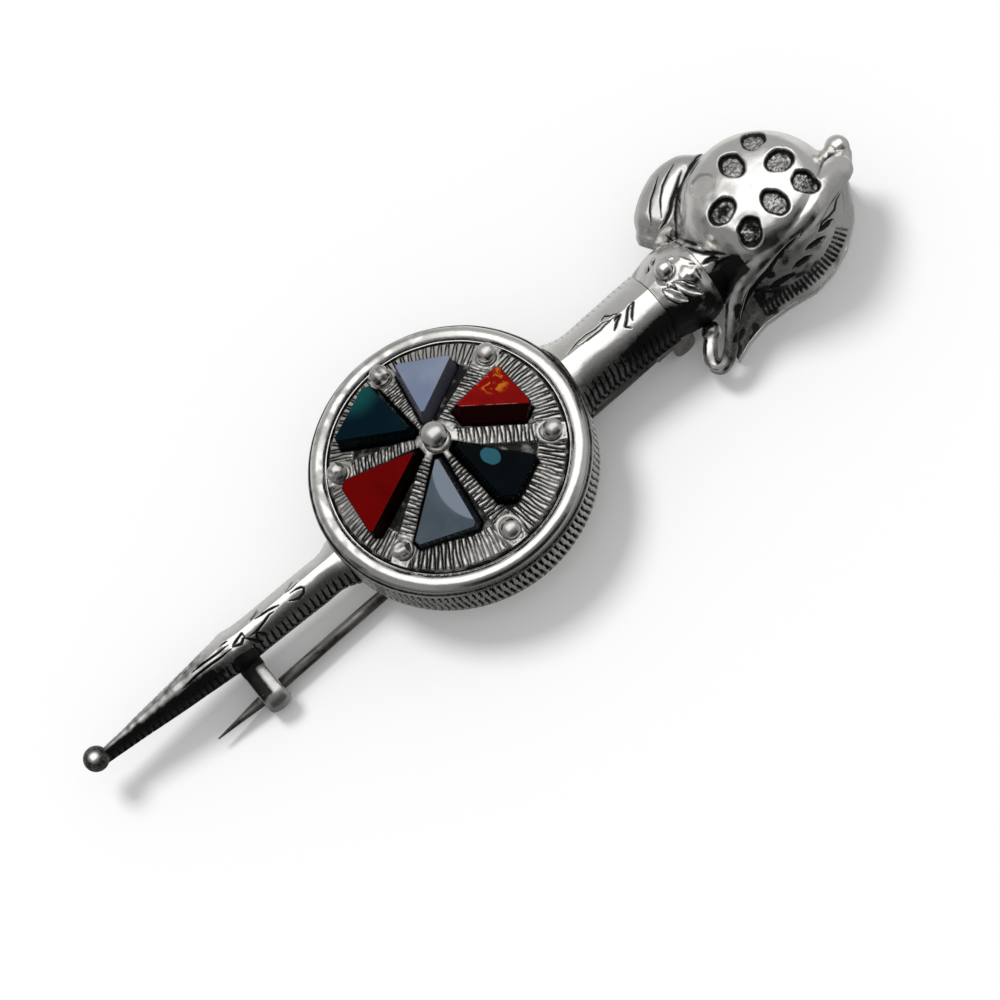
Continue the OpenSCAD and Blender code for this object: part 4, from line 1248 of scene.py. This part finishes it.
# %% Cut the casting
wear = uneven(cast_points, 1.7, 65, 0.07) + uneven(cast_points, 0.5, 66, 0.02)
cuts = 0.18 * thick + 0.07 * thin + 0.25 * slit + 0.14 * nick
cast_depth = pit_depth - grains + cuts - wear - curl * uneven(cast_points, 0.4, 67, 0.3)
cast_new = cast_points - cast_normals * cast_depth[:, None]
cast_new[:, 2] = np.maximum(cast_new[:, 2], HILT_FOOT)
cast_new[:, 0] += SHIELD_X
cast.vertices.foreach_set("co", (cast_new * MM).ravel())
layer = cast.attributes.new("tarnish_and_shade", "FLOAT", "POINT")
layer.data.foreach_set("value", cast_tarnish_and_shade.astype(np.float32))
cast.shade_smooth()
hilt = count(put_in_scene("hilt_casting", cast))
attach(hilt, "body")
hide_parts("hilt")

# %% [markdown]
# ## Small parts from the frame's own solids
#
# The stones, the back sheet and the hinge are simple solids that the CAD already draws exactly.
# Copying such a solid and rounding its edges keeps its size to the hundredth of a millimetre, and
# a rounded edge is what makes metal and stone read as real: it catches a thin line of light.

# %% Copy a solid and round its edges
def rounded_copy(node, name, width, segments=3, angle=25):
    """A new piece from a CAD solid, with its edges rounded by a width in millimetres."""
    piece = put_in_scene(name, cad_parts[node].data.copy())
    piece.data.materials.clear()
    body = bmesh.new()
    body.from_mesh(piece.data)
    bmesh.ops.remove_doubles(body, verts=body.verts, dist=0.002 * MM)
    bmesh.ops.dissolve_limit(body, angle_limit=math.radians(1), verts=body.verts, edges=body.edges)
    edges = [e for e in body.edges if e.is_manifold and e.calc_face_angle(0) > math.radians(angle)]
    bmesh.ops.bevel(body, geom=edges, offset=width * MM, segments=segments, profile=0.5,
                    affect="EDGES", clamp_overlap=True)
    bmesh.ops.recalc_face_normals(body, faces=body.faces)
    body.to_mesh(piece.data)
    body.free()
    piece.data.shade_smooth()
    piece.data.set_sharp_from_angle(angle=math.radians(35))
    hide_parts(node)
    return count(piece)


STONE_SLOTS = {"stone_flecked_red": "jasper_flecked", "stone_grey_far": "chalcedony",
               "stone_teal": "agate_teal", "stone_deep_red": "jasper_red",
               "stone_grey_near": "chalcedony", "stone_dark_green": "agate_green"}
stones = {}
for node, slot in STONE_SLOTS.items():
    stones[node] = rounded_copy(node, node + "_cut", 0.07)
    stones[node].data.shade_flat()
    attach(stones[node], "body")
SMALL_PARTS = (("hilt_back", "hilt_back_sheet", 0.08),
               ("hinge_plate", "hinge_plate_and_knuckles", 0.05),
               ("hinge_rivet", "hinge_rivet_pin", 0.04))
small = {}
for node, name, width in SMALL_PARTS:
    small[node] = rounded_copy(node, name, width)
    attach(small[node], "body")

# %% [markdown]
# ## The pin and its catch
#
# The pin is a drawn wire, soldered into a knuckle and filed to a point. A cylinder with a cone on
# its end would show two hard rings, so rings are swept along the wire with a radius that follows a
# rule, and a little noise bends the light as drawn wire does. It rides on a body of its own,
# because it turns on the hinge.

# %% Make the pin
PIN_SKEW = math.radians(2.5)
PIN_L = 47.4
PIN_R = 0.48
PIN_START = 0.55
POINT_L = 4.6
POINT_R = 0.06
HINGE = np.array([SHIELD_X + THROAT_END + 0.1, -1.9, 1.05])
pin_dir = np.array([-math.cos(PIN_SKEW), -math.sin(PIN_SKEW), 0])
pin_side = np.array([math.sin(PIN_SKEW), -math.cos(PIN_SKEW), 0])
point_start = PIN_L - POINT_L
stations = np.concatenate([np.linspace(PIN_START, point_start, 150),
                           np.linspace(point_start, PIN_L, 26)[1:]])
radius = np.where(stations < point_start, PIN_R,
                  POINT_R + (PIN_R - POINT_R) * (PIN_L - stations) / POINT_L)
turn = np.linspace(0, 2 * math.pi, 28, endpoint=False)
pin_grid = (HINGE + stations[:, None, None] * pin_dir
            + (radius[:, None] * np.cos(turn))[..., None] * pin_side
            + (radius[:, None] * np.sin(turn))[..., None] * np.array([0, 0, 1.0]))
pin_wear = uneven(pin_grid * [0.35, 1, 1], 0.5, 71, 0.02) - 0.006
pin_grid = pin_grid + grid_normals(pin_grid) * pin_wear[..., None]
pin_tarnish = 0.3 + 0.3 * ramp(noise(pin_grid * [0.2, 2, 2], 0.5, 73), 0.3, 0.8)
pin_shell = close_loft(pin_grid, {"tarnish_and_shade": pin_tarnish})
print("stem of", len(stations), "rings")

# %% [markdown]
# The pin's knuckle is a short ring with a true hole for the rivet: a closed profile swept round the
# hinge's axis.

# %% Add the pin's knuckle
KNUCKLE_STEPS = 72
# Half of the knuckle's profile: distance from the hinge's axis and half width
KNUCKLE_SIDE = [(0.345, 0.5), (0.38, 0.52), (0.95, 0.52), (1.0, 0.47)]
ring = [(r, -w) for r, w in KNUCKLE_SIDE] + [(r, w) for r, w in reversed(KNUCKLE_SIDE)]
knuckle_grid = np.array([[HINGE + pin_dir * r * math.cos(t) + np.array([0, 0, r * math.sin(t)])
                          + pin_side * w
                          for t in np.linspace(0, 2 * math.pi, KNUCKLE_STEPS, endpoint=False)]
                         for r, w in ring])
knuckle_faces = grid_faces(len(ring), KNUCKLE_STEPS, wrap=True)
ring_last = (len(ring) - 1) * KNUCKLE_STEPS
for j in range(KNUCKLE_STEPS):
    after = (j + 1) % KNUCKLE_STEPS
    knuckle_faces.append([ring_last + j, ring_last + after, after, j])
knuckle_shell = (knuckle_grid, knuckle_faces, {"tarnish_and_shade": np.full(1, 0.4)})
pin = count(make_piece("pin_stem", *gather([pin_shell, knuckle_shell]), sharp=40))
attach(pin, "pin")
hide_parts("pin")

# %% [markdown]
# The catch is a strip of half-round wire soldered under the sheath and curled over the pin. A bent
# strip is a sweep too: a straight run, then an arc, with the same section at every step.

# %% Make the catch
CATCH_ALONG = 0.437
CATCH_X = SHIELD_X - CASE_R - CATCH_ALONG * SHEATH_L
CATCH_W = 2.0
CATCH_T = 0.5
EDGE_T = 0.05
HOOK_OFF_PIN = 0.28
# The curl starts on top, at 90 degrees, and its radius brings its end down to height 0
HOOK_END = 245
HOOK_R = (BACK_Z - GAP) / (1 + math.sin(math.radians(HOOK_END - 180)))
HOOK_Z = BACK_Z - GAP - HOOK_R
HOOK_Y = HINGE[1] - (HINGE[0] - CATCH_X) * math.tan(PIN_SKEW) - HOOK_OFF_PIN
midline = HOOK_R - CATCH_T / 2
catch_path = [(y, HOOK_Z + midline) for y in np.linspace(1.0, HOOK_Y, 24)[:-1]]
catch_path += [(HOOK_Y + midline * math.cos(t), HOOK_Z + midline * math.sin(t))
               for t in np.radians(np.linspace(90, HOOK_END, 60))]
run = np.gradient(np.array(catch_path), axis=0)
run /= np.linalg.norm(run, axis=1, keepdims=True)
outer = np.stack([run[:, 1], -run[:, 0]], -1)
outer *= np.sign(outer[0, 1])
strip = [(-math.cos(t) * CATCH_W / 2, (CATCH_T - EDGE_T) * math.sin(t) - CATCH_T / 2 + EDGE_T)
         for t in np.linspace(0, math.pi, 29)]
strip += [(w, -CATCH_T / 2) for w in np.linspace(CATCH_W / 2 - 0.08, -CATCH_W / 2 + 0.08, 6)]
catch_grid = np.array([[[CATCH_X + w, p[0] + o[0] * h, p[1] + o[1] * h] for w, h in strip]
                       for p, o in zip(catch_path, outer)])
strip_w, strip_h = np.array(strip).T[:, None, :]
out_y = catch_grid[..., 1]
# Painted shade on the catch: a dark band down one side of the strip, its root under the sheath and
# its flat inner face.
catch_shade_band = (ramp(strip_w, 0.3, 0.0) * ramp(strip_w, -0.98, -0.85)
             * ramp(out_y, HOOK_Y - 0.9, HOOK_Y - 0.3))
catch_root_shade = ramp(out_y, -2.2, -1.6)
flat_back_shade = strip_h < 0.06 - CATCH_T / 2
catch_tarnish_and_shade = np.clip(0.25 + 0.55 * catch_shade_band + catch_root_shade + flat_back_shade, 0, 1)
catch_shell = close_loft(catch_grid, {"tarnish_and_shade": catch_tarnish_and_shade})
catch = count(make_piece("catch_hook", *gather([catch_shell]), sharp=50))
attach(catch, "body")
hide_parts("catch")

# %% [markdown]
# ## Finishes as arithmetic
#
# A material is a small calculation for every point of a surface. Blender draws it as boxes and
# wires, and the same thing can be written as plain sums: one class wraps the end of a wire, so
# that adding or multiplying two wires adds the Math node for it.

# %% Write shader sums
class Wire:
    """The output socket of a node, usable in arithmetic."""

    def __init__(self, nodes, socket):
        self.nodes = nodes
        self.socket = socket

    def sum_node(self, operation, first, second, clamp=False):
        """Adds one Math node over two values."""
        settings = {"operation": operation, "use_clamp": clamp}
        return self.nodes.add("ShaderNodeMath", settings, {0: first, 1: second})

    def __add__(self, other):
        return self.sum_node("ADD", self, other)

    def __radd__(self, other):
        return self.sum_node("ADD", other, self)

    def __sub__(self, other):
        return self.sum_node("SUBTRACT", self, other)

    def __rsub__(self, other):
        return self.sum_node("SUBTRACT", other, self)

    def __mul__(self, other):
        return self.sum_node("MULTIPLY", self, other)

    def __rmul__(self, other):
        return self.sum_node("MULTIPLY", other, self)

    def clamped(self):
        """The value held between 0 and 1."""
        return self.sum_node("ADD", self, 0.0, clamp=True)

    def above(self, low, high):
        """0 below low, 1 above high, with a smooth step between."""
        return self.nodes.add("ShaderNodeMapRange", {"interpolation_type": "SMOOTHSTEP"},
                              {"Value": self, "From Min": low, "From Max": high})


print("a wire can be added, subtracted, multiplied, clamped and stepped")

# %% [markdown]
# Every other node comes from one method, which takes the node's type, its settings and the values
# or wires of its sockets. Materials and the sky share it.

# %% Add any node
class Nodes:
    """The nodes of a material or of the sky."""

    def __init__(self, holder):
        holder.use_nodes = True
        self.tree = holder.node_tree
        self.tree.nodes.clear()

    def add(self, kind, settings=None, inputs=None, output=0):
        """Adds a node, sets it, then joins its inputs to values or wires."""
        node = self.tree.nodes.new(kind)
        for key, value in (settings or {}).items():
            setattr(node, key, value)
        for key, value in (inputs or {}).items():
            if isinstance(value, Wire):
                self.tree.links.new(value.socket, node.inputs[key])
            else:
                node.inputs[key].default_value = value
        return Wire(self, node.outputs[output]) if node.outputs else None

    def number(self, vector, axis):
        """One of a vector's three numbers: 0, 1 or 2 for x, y or z."""
        return self.add("ShaderNodeSeparateXYZ", {}, {0: vector}, output=axis)


print("nodes are added by", Nodes.add.__name__)

# %% [markdown]
# What the silver and the stones both need gets a short name: a place on the part, cloudy noise
# with lumps of a size, a distance from a spot, a colour between two colours and a bump.

# %% Name the nodes of a finish
class Finish(Nodes):
    """A material and the nodes that make it."""

    def __init__(self, name):
        self.material = bpy.data.materials.new(name)
        super().__init__(self.material)

    def place(self):
        """Where a point is on the part, in metres."""
        return self.add("ShaderNodeTexCoord", output="Object")

    def scaled(self, vector, sizes):
        """A place stretched by three numbers."""
        return self.add("ShaderNodeVectorMath", {"operation": "MULTIPLY"}, {0: vector, 1: sizes})

    def cloud(self, vector, per_mm, detail=3.0, distortion=0.0):
        """Noise with a number of lumps per millimetre."""
        return self.add("ShaderNodeTexNoise", {}, {"Vector": vector, "Scale": per_mm / MM,
                                                   "Detail": detail, "Distortion": distortion})

    def upward(self):
        """1 where the surface faces straight up, 0 where it is upright."""
        return self.number(self.add("ShaderNodeNewGeometry", output="True Normal"), 2)

    def reach(self, place, spot):
        """Distance in millimetres, seen from above, from a spot (x, y) on the part."""
        flat = self.scaled(place, (1 / MM, 1 / MM, 0))
        return self.add("ShaderNodeVectorMath", {"operation": "DISTANCE"},
                        {0: flat, 1: (*spot, 0)}, output="Value")

    def mark(self, name):
        """A value that was written on the mesh's points."""
        return self.add("ShaderNodeAttribute", {"attribute_name": name}, output="Fac")

    def mix(self, share, first, second):
        """A colour between two colours."""
        first, second = ((*c, 1) if isinstance(c, tuple) else c for c in (first, second))
        return self.add("ShaderNodeMix", {"data_type": "RGBA"}, {0: share, 6: first, 7: second},
                        output=2)

    def bump(self, height, distance_mm, strength, normal=None):
        """A surface normal from a height, over another normal where one is given."""
        inputs = {"Height": height, "Distance": distance_mm * MM, "Strength": strength}
        if normal is not None:
            inputs["Normal"] = normal
        return self.add("ShaderNodeBump", {}, inputs)

    def shade(self, **inputs):
        """Ends the material in a Principled surface; words in an input's name join by an
        underscore."""
        named = {key.replace("_", " "): value for key, value in inputs.items()}
        surface = self.add("ShaderNodeBsdfPrincipled", {}, named)
        self.add("ShaderNodeOutputMaterial", {}, {"Surface": surface})
        return self.material


def wear_finish(piece, material):
    """Gives a piece one material."""
    piece.data.materials.clear()
    piece.data.materials.append(material)


print("finishes can use", [name for name in vars(Finish) if name[0] != "_"])

# %% [markdown]
# ## Silver
#
# Silver shines where hands and cloth rub it and goes black where they don't. A painted image could
# show that, but the marks written on each mesh already say how deep in a cut a point is. The same
# marks also carry painted shade on sides and undersides that turn away from the light. Cloudy
# noise roughens that line, so the black doesn't end like paint. Tarnish is also rougher and less
# metallic than silver, so one number drives the colour, the roughness and the metal, for the
# painted shade as well.

# %% Mix the silver
SILVER_DARK = (0.01, 0.0095, 0.009)
SCRATCH_STRETCH = (0.35, 1.6, 1.0)


def silver_finish(name, bright, dark, base_tarnish_and_shade=0.0, polish=0.19):
    """Silver with tarnish in its cuts and painted shade where the marks hold it, a soft unevenness
    and fine scratches.
    """
    f = Finish(name)
    at = f.place()
    film = f.cloud(at, 0.9, 4.0, 0.6)
    specks = f.cloud(at, 4.5)
    scratches = f.cloud(f.scaled(at, SCRATCH_STRETCH), 3.2, 5.0)
    rim = f.mark("tarnish_and_shade") * (0.75 + 0.5 * specks)
    tarnish_and_shade = (rim + base_tarnish_and_shade + (film - 0.5) * 0.25).clamped()
    colour = f.mix((tarnish_and_shade * 1.35).clamped(), bright, dark)
    roughness = (polish + 0.12 * (film - 0.5) + 0.1 * (scratches - 0.5) + tarnish_and_shade * 0.3).clamped()
    dents = f.bump(f.cloud(at, 0.8), 0.05, 0.6)
    return f.shade(Base_Color=colour, Metallic=1.0 - 0.35 * tarnish_and_shade, Roughness=roughness,
                   Normal=f.bump(scratches, 0.006, 0.5, dents))


silver = silver_finish("silver", (0.83, 0.82, 0.79), SILVER_DARK)
dark_silver = silver_finish("silver_engraved", (0.7, 0.69, 0.66), SILVER_DARK, 0.06, 0.27)
pin_silver = silver_finish("silver_worn_wire", (0.5, 0.48, 0.44), (0.03, 0.028, 0.025), 0.1, 0.3)
# The hinge sits in the shade under the collar, so it gets a darker copy of the silver: painted
# shade.
shaded_hinge_silver = silver_finish("silver_shaded", (0.6, 0.58, 0.55), SILVER_DARK, 0.5, 0.3)
for piece in (shield_case, sheath, throat, collar, hilt, small["hilt_back"], catch):
    wear_finish(piece, silver)
for node in ("hinge_plate", "hinge_rivet"):
    wear_finish(small[node], shaded_hinge_silver)
wear_finish(shield_face, dark_silver)
wear_finish(pin, pin_silver)
print("silver:", silver.name, dark_silver.name, pin_silver.name, shaded_hinge_silver.name)

# %% [markdown]
# ## Stones
#
# The stones are polished agates: two red jaspers, one with yellow-brown flecks, two clouded greys
# and two very dark greens. They share one recipe: a body colour that drifts slowly, painted shade
# on the upright sides where they stand in the silver, a finely chipped edge round the top and a
# hard polish. The direction of each facet tells the sides, the bevel and the top apart, so no image
# is needed.

# %% Polish a stone
SIDE_SHADE_ENDS = (0.87, 0.915)
EDGE_FROM = (0.88, 0.89)
EDGE_TO = (0.925, 0.933)


def agate(name, body, cloudy, side_shade_colour, lumps=0.25, shine=0.12, edge=(0.03, 0.03, 0.035),
          spot=None):
    """A polished stone; spot is a function that adds a mark of its own to the colour."""
    f = Finish(name)
    at = f.place()
    colour = f.mix(f.cloud(at, lumps, 3.0, 0.8).above(0.35, 0.75), body, cloudy)
    if spot:
        colour = spot(f, at, colour)
    up = f.upward()
    chipped = up.above(*EDGE_FROM) * (1 - up.above(*EDGE_TO)) * f.cloud(at, 1.6).above(0.42, 0.6)
    # The upright sides get painted shade.
    colour = f.mix(1 - up.above(*SIDE_SHADE_ENDS), colour, side_shade_colour)
    colour = f.mix(chipped, colour, edge)
    ripple = f.bump(f.cloud(at, 0.5, 1.0), 0.012, 0.5)
    scuffs = f.bump(f.cloud(at, 6.0, 4.0), 0.002, 0.4, ripple)
    return f.shade(Base_Color=colour, Roughness=0.1 + 0.12 * f.cloud(at, 0.9, 2.0),
                   Specular_IOR_Level=shine, Normal=scuffs)


print("stones to finish:", len(stones))

# %% [markdown]
# Four stones have a mark that the others lack: brown flecks, a lighter end, a curved chip drawn
# paler as a painted reflection, and a bright patch that is a painted reflection. Each is a distance
# from a spot on the part, in millimetres.

# %% Mark four of the stones
FLECKS_AT = (4.6, 1.5)
LIGHT_END_AT = (-3.9, 8.4)
CHIP_AT = (-0.62, -4.18)
REFLECTION_PATCH_AT = (0.61, -3.69)


def brown_flecks(f, at, colour):
    """Yellow-brown flecks near the stone's outer edge."""
    near = 1 - f.reach(at, FLECKS_AT).above(0.9, 1.5)
    flecks = f.cloud(at, 1.3, 3.0, 1.0).above(0.5, 0.6) * near
    return f.mix(flecks * 0.85, colour, (0.5, 0.14, 0.005))


def light_end(f, at, colour):
    """A greener, lighter end that fades into the dark stone."""
    near = 1 - f.reach(at, LIGHT_END_AT).above(0.8, 2.8)
    return f.mix(near * 0.9, colour, (0.004, 0.055, 0.055))


def chip_and_painted_reflection(f, at, colour):
    """A shell-shaped chip with a round outline, painted paler for the light its facet reflects."""
    return f.mix(1 - f.reach(at, CHIP_AT).above(3.55, 3.7), colour, (0.17, 0.2, 0.25))


def painted_reflection_patch(f, at, colour):
    """A painted reflection: a small ragged patch of brighter green."""
    ragged = f.reach(at, REFLECTION_PATCH_AT) + f.cloud(at, 0.9, 1.0) * 0.5
    return f.mix(1 - ragged.above(0.92, 1.0), colour, (0.022, 0.1, 0.13))


finishes = {
    "stone_flecked_red": agate("jasper_flecked", (0.21, 0.001, 0.0005), (0.14, 0.0006, 0.0004),
                               (0.008, 0.0006, 0.0006), shine=0.05, edge=(0.55, 0.24, 0.2),
                               spot=brown_flecks),
    "stone_grey_far": agate("chalcedony_grey", (0.135, 0.17, 0.25), (0.19, 0.22, 0.29),
                            (0.05, 0.05, 0.07), lumps=0.2),
    "stone_teal": agate("agate_teal", (0.0003, 0.006, 0.011), (0.0006, 0.011, 0.017),
                        (0.0003, 0.002, 0.003), shine=0.04, spot=light_end),
    "stone_deep_red": agate("jasper_red", (0.12, 0.0003, 0.0003), (0.08, 0.0002, 0.0002),
                            (0.004, 0.0004, 0.0004), shine=0.03),
    "stone_grey_near": agate("chalcedony_blue", (0.044, 0.062, 0.08), (0.074, 0.096, 0.12),
                             (0.01, 0.012, 0.016), lumps=0.2, spot=chip_and_painted_reflection),
    "stone_dark_green": agate("agate_dark_green", (0.0002, 0.0012, 0.002),
                              (0.0004, 0.003, 0.005), (0.0002, 0.0006, 0.001), shine=0.03,
                              spot=painted_reflection_patch)}
for node, material in finishes.items():
    wear_finish(stones[node], material)
print("stones finished:", len(finishes))

# %% [markdown]
# ## Table and light
#
# The brooch lies on a plain white table, which is a single square, because only its colour and the
# shadow on it show. It is hidden from the silver's reflections, which get their own light below.

# %% Lay the table
FLOOR_HALF = 1.5
floor_mesh = bpy.data.meshes.new("table_top")
floor_mesh.from_pydata([(x * FLOOR_HALF, y * FLOOR_HALF, 0)
                        for x, y in ((-1, -1), (1, -1), (1, 1), (-1, 1))], [], [(0, 1, 2, 3)])
floor = put_in_scene("table_top", floor_mesh)
wear_finish(floor, Finish("white_paper").shade(Base_Color=(0.9, 0.9, 0.9, 1), Roughness=0.95))
floor.visible_glossy = False
print("table", 2 * FLOOR_HALF, "m wide")

# %% [markdown]
# Silver shows only what it mirrors, so the light matters more than the metal: a long soft box
# overhead gives the white streaks, a pale wall behind gives the far sides their grey, and nothing
# in front leaves the near sides nearly black. Area lights and cards could stand there, but they
# would light the table too. A sky whose brightness depends on its direction does the same, and it
# can tell a mirrored ray from the plain even light that falls on the table.

# %% Light the sky
FLOOR_LIGHT = 0.66
SOFT_BOX = 1.35
# The sky's tilt is measured in degrees from overhead, towards the far side
BOX_NEAR = (-31, -13)
BOX_FAR = (27, 45)
BOX_TIP_END = (-0.66, -0.36)
BOX_HILT_END = (0.75, 0.93)
HILT_END_LIGHT = 0.42
TIP_END_LIGHT = 0.26
world = bpy.data.worlds.new("studio")
bpy.context.scene.world = world
sky = Nodes(world)
world.cycles.sampling_method = "NONE"
ways = sky.add("ShaderNodeTexCoord", output="Generated")
way_x, way_y, way_z = (sky.number(ways, axis) for axis in range(3))
tilt = way_y.sum_node("ARCTAN2", way_y, way_z) * (180 / math.pi)
box = (tilt.above(*BOX_NEAR) * (1 - tilt.above(*BOX_FAR))
       * ((1 - way_x.above(*BOX_HILT_END)) * way_x.above(*BOX_TIP_END)))
wall = 0.2 * tilt.above(-75, -38) + 0.22 * tilt.above(0, 40) + 0.18 * tilt.above(80, 115) + 0.008
hilt_side = way_x.above(0.5, 0.85)
tip_side = 1 - way_x.above(-0.85, -0.5)
around = (wall * (1 - hilt_side) * (1 - tip_side) + hilt_side * HILT_END_LIGHT
          + tip_side * TIP_END_LIGHT)
below = 1 - way_z.above(-0.5, -0.2)
under = 0.14 + 0.2 * way_x.above(-0.2, 0.6) + 0.45 * way_y.above(0.1, 0.6)
mirrored = around * (1 - below) + under * below
mirrored = mirrored * (1 - box) + box * SOFT_BOX
is_mirror = sky.add("ShaderNodeLightPath", output="Is Glossy Ray")
strength = mirrored * is_mirror + FLOOR_LIGHT * (1 - is_mirror)
glow = sky.add("ShaderNodeBackground", {}, {"Color": (1, 1, 1, 1), "Strength": strength})
sky.add("ShaderNodeOutputWorld", {}, {"Surface": glow})
print("sky of", len(sky.tree.nodes), "nodes")

# %% [markdown]
# The shadow in front of the brooch needs one light with a direction. A wide, soft sun from behind
# throws it. The silver doesn't mirror this sun, because its streaks come from the soft box alone.

# %% Hang the sun
SUN_TO = Vector((0.08, -0.57, -0.82))
sun_light = bpy.data.lights.new("sun", "SUN")
sun_light.energy = 1.8
sun_light.angle = math.radians(20)
sun = put_in_scene("sun", sun_light)
sun.rotation_euler = SUN_TO.to_track_quat("-Z", "Y").to_euler()
sun.visible_glossy = False
print("sun falls along", [round(c, 2) for c in SUN_TO])

# %% [markdown]
# ## The end
#
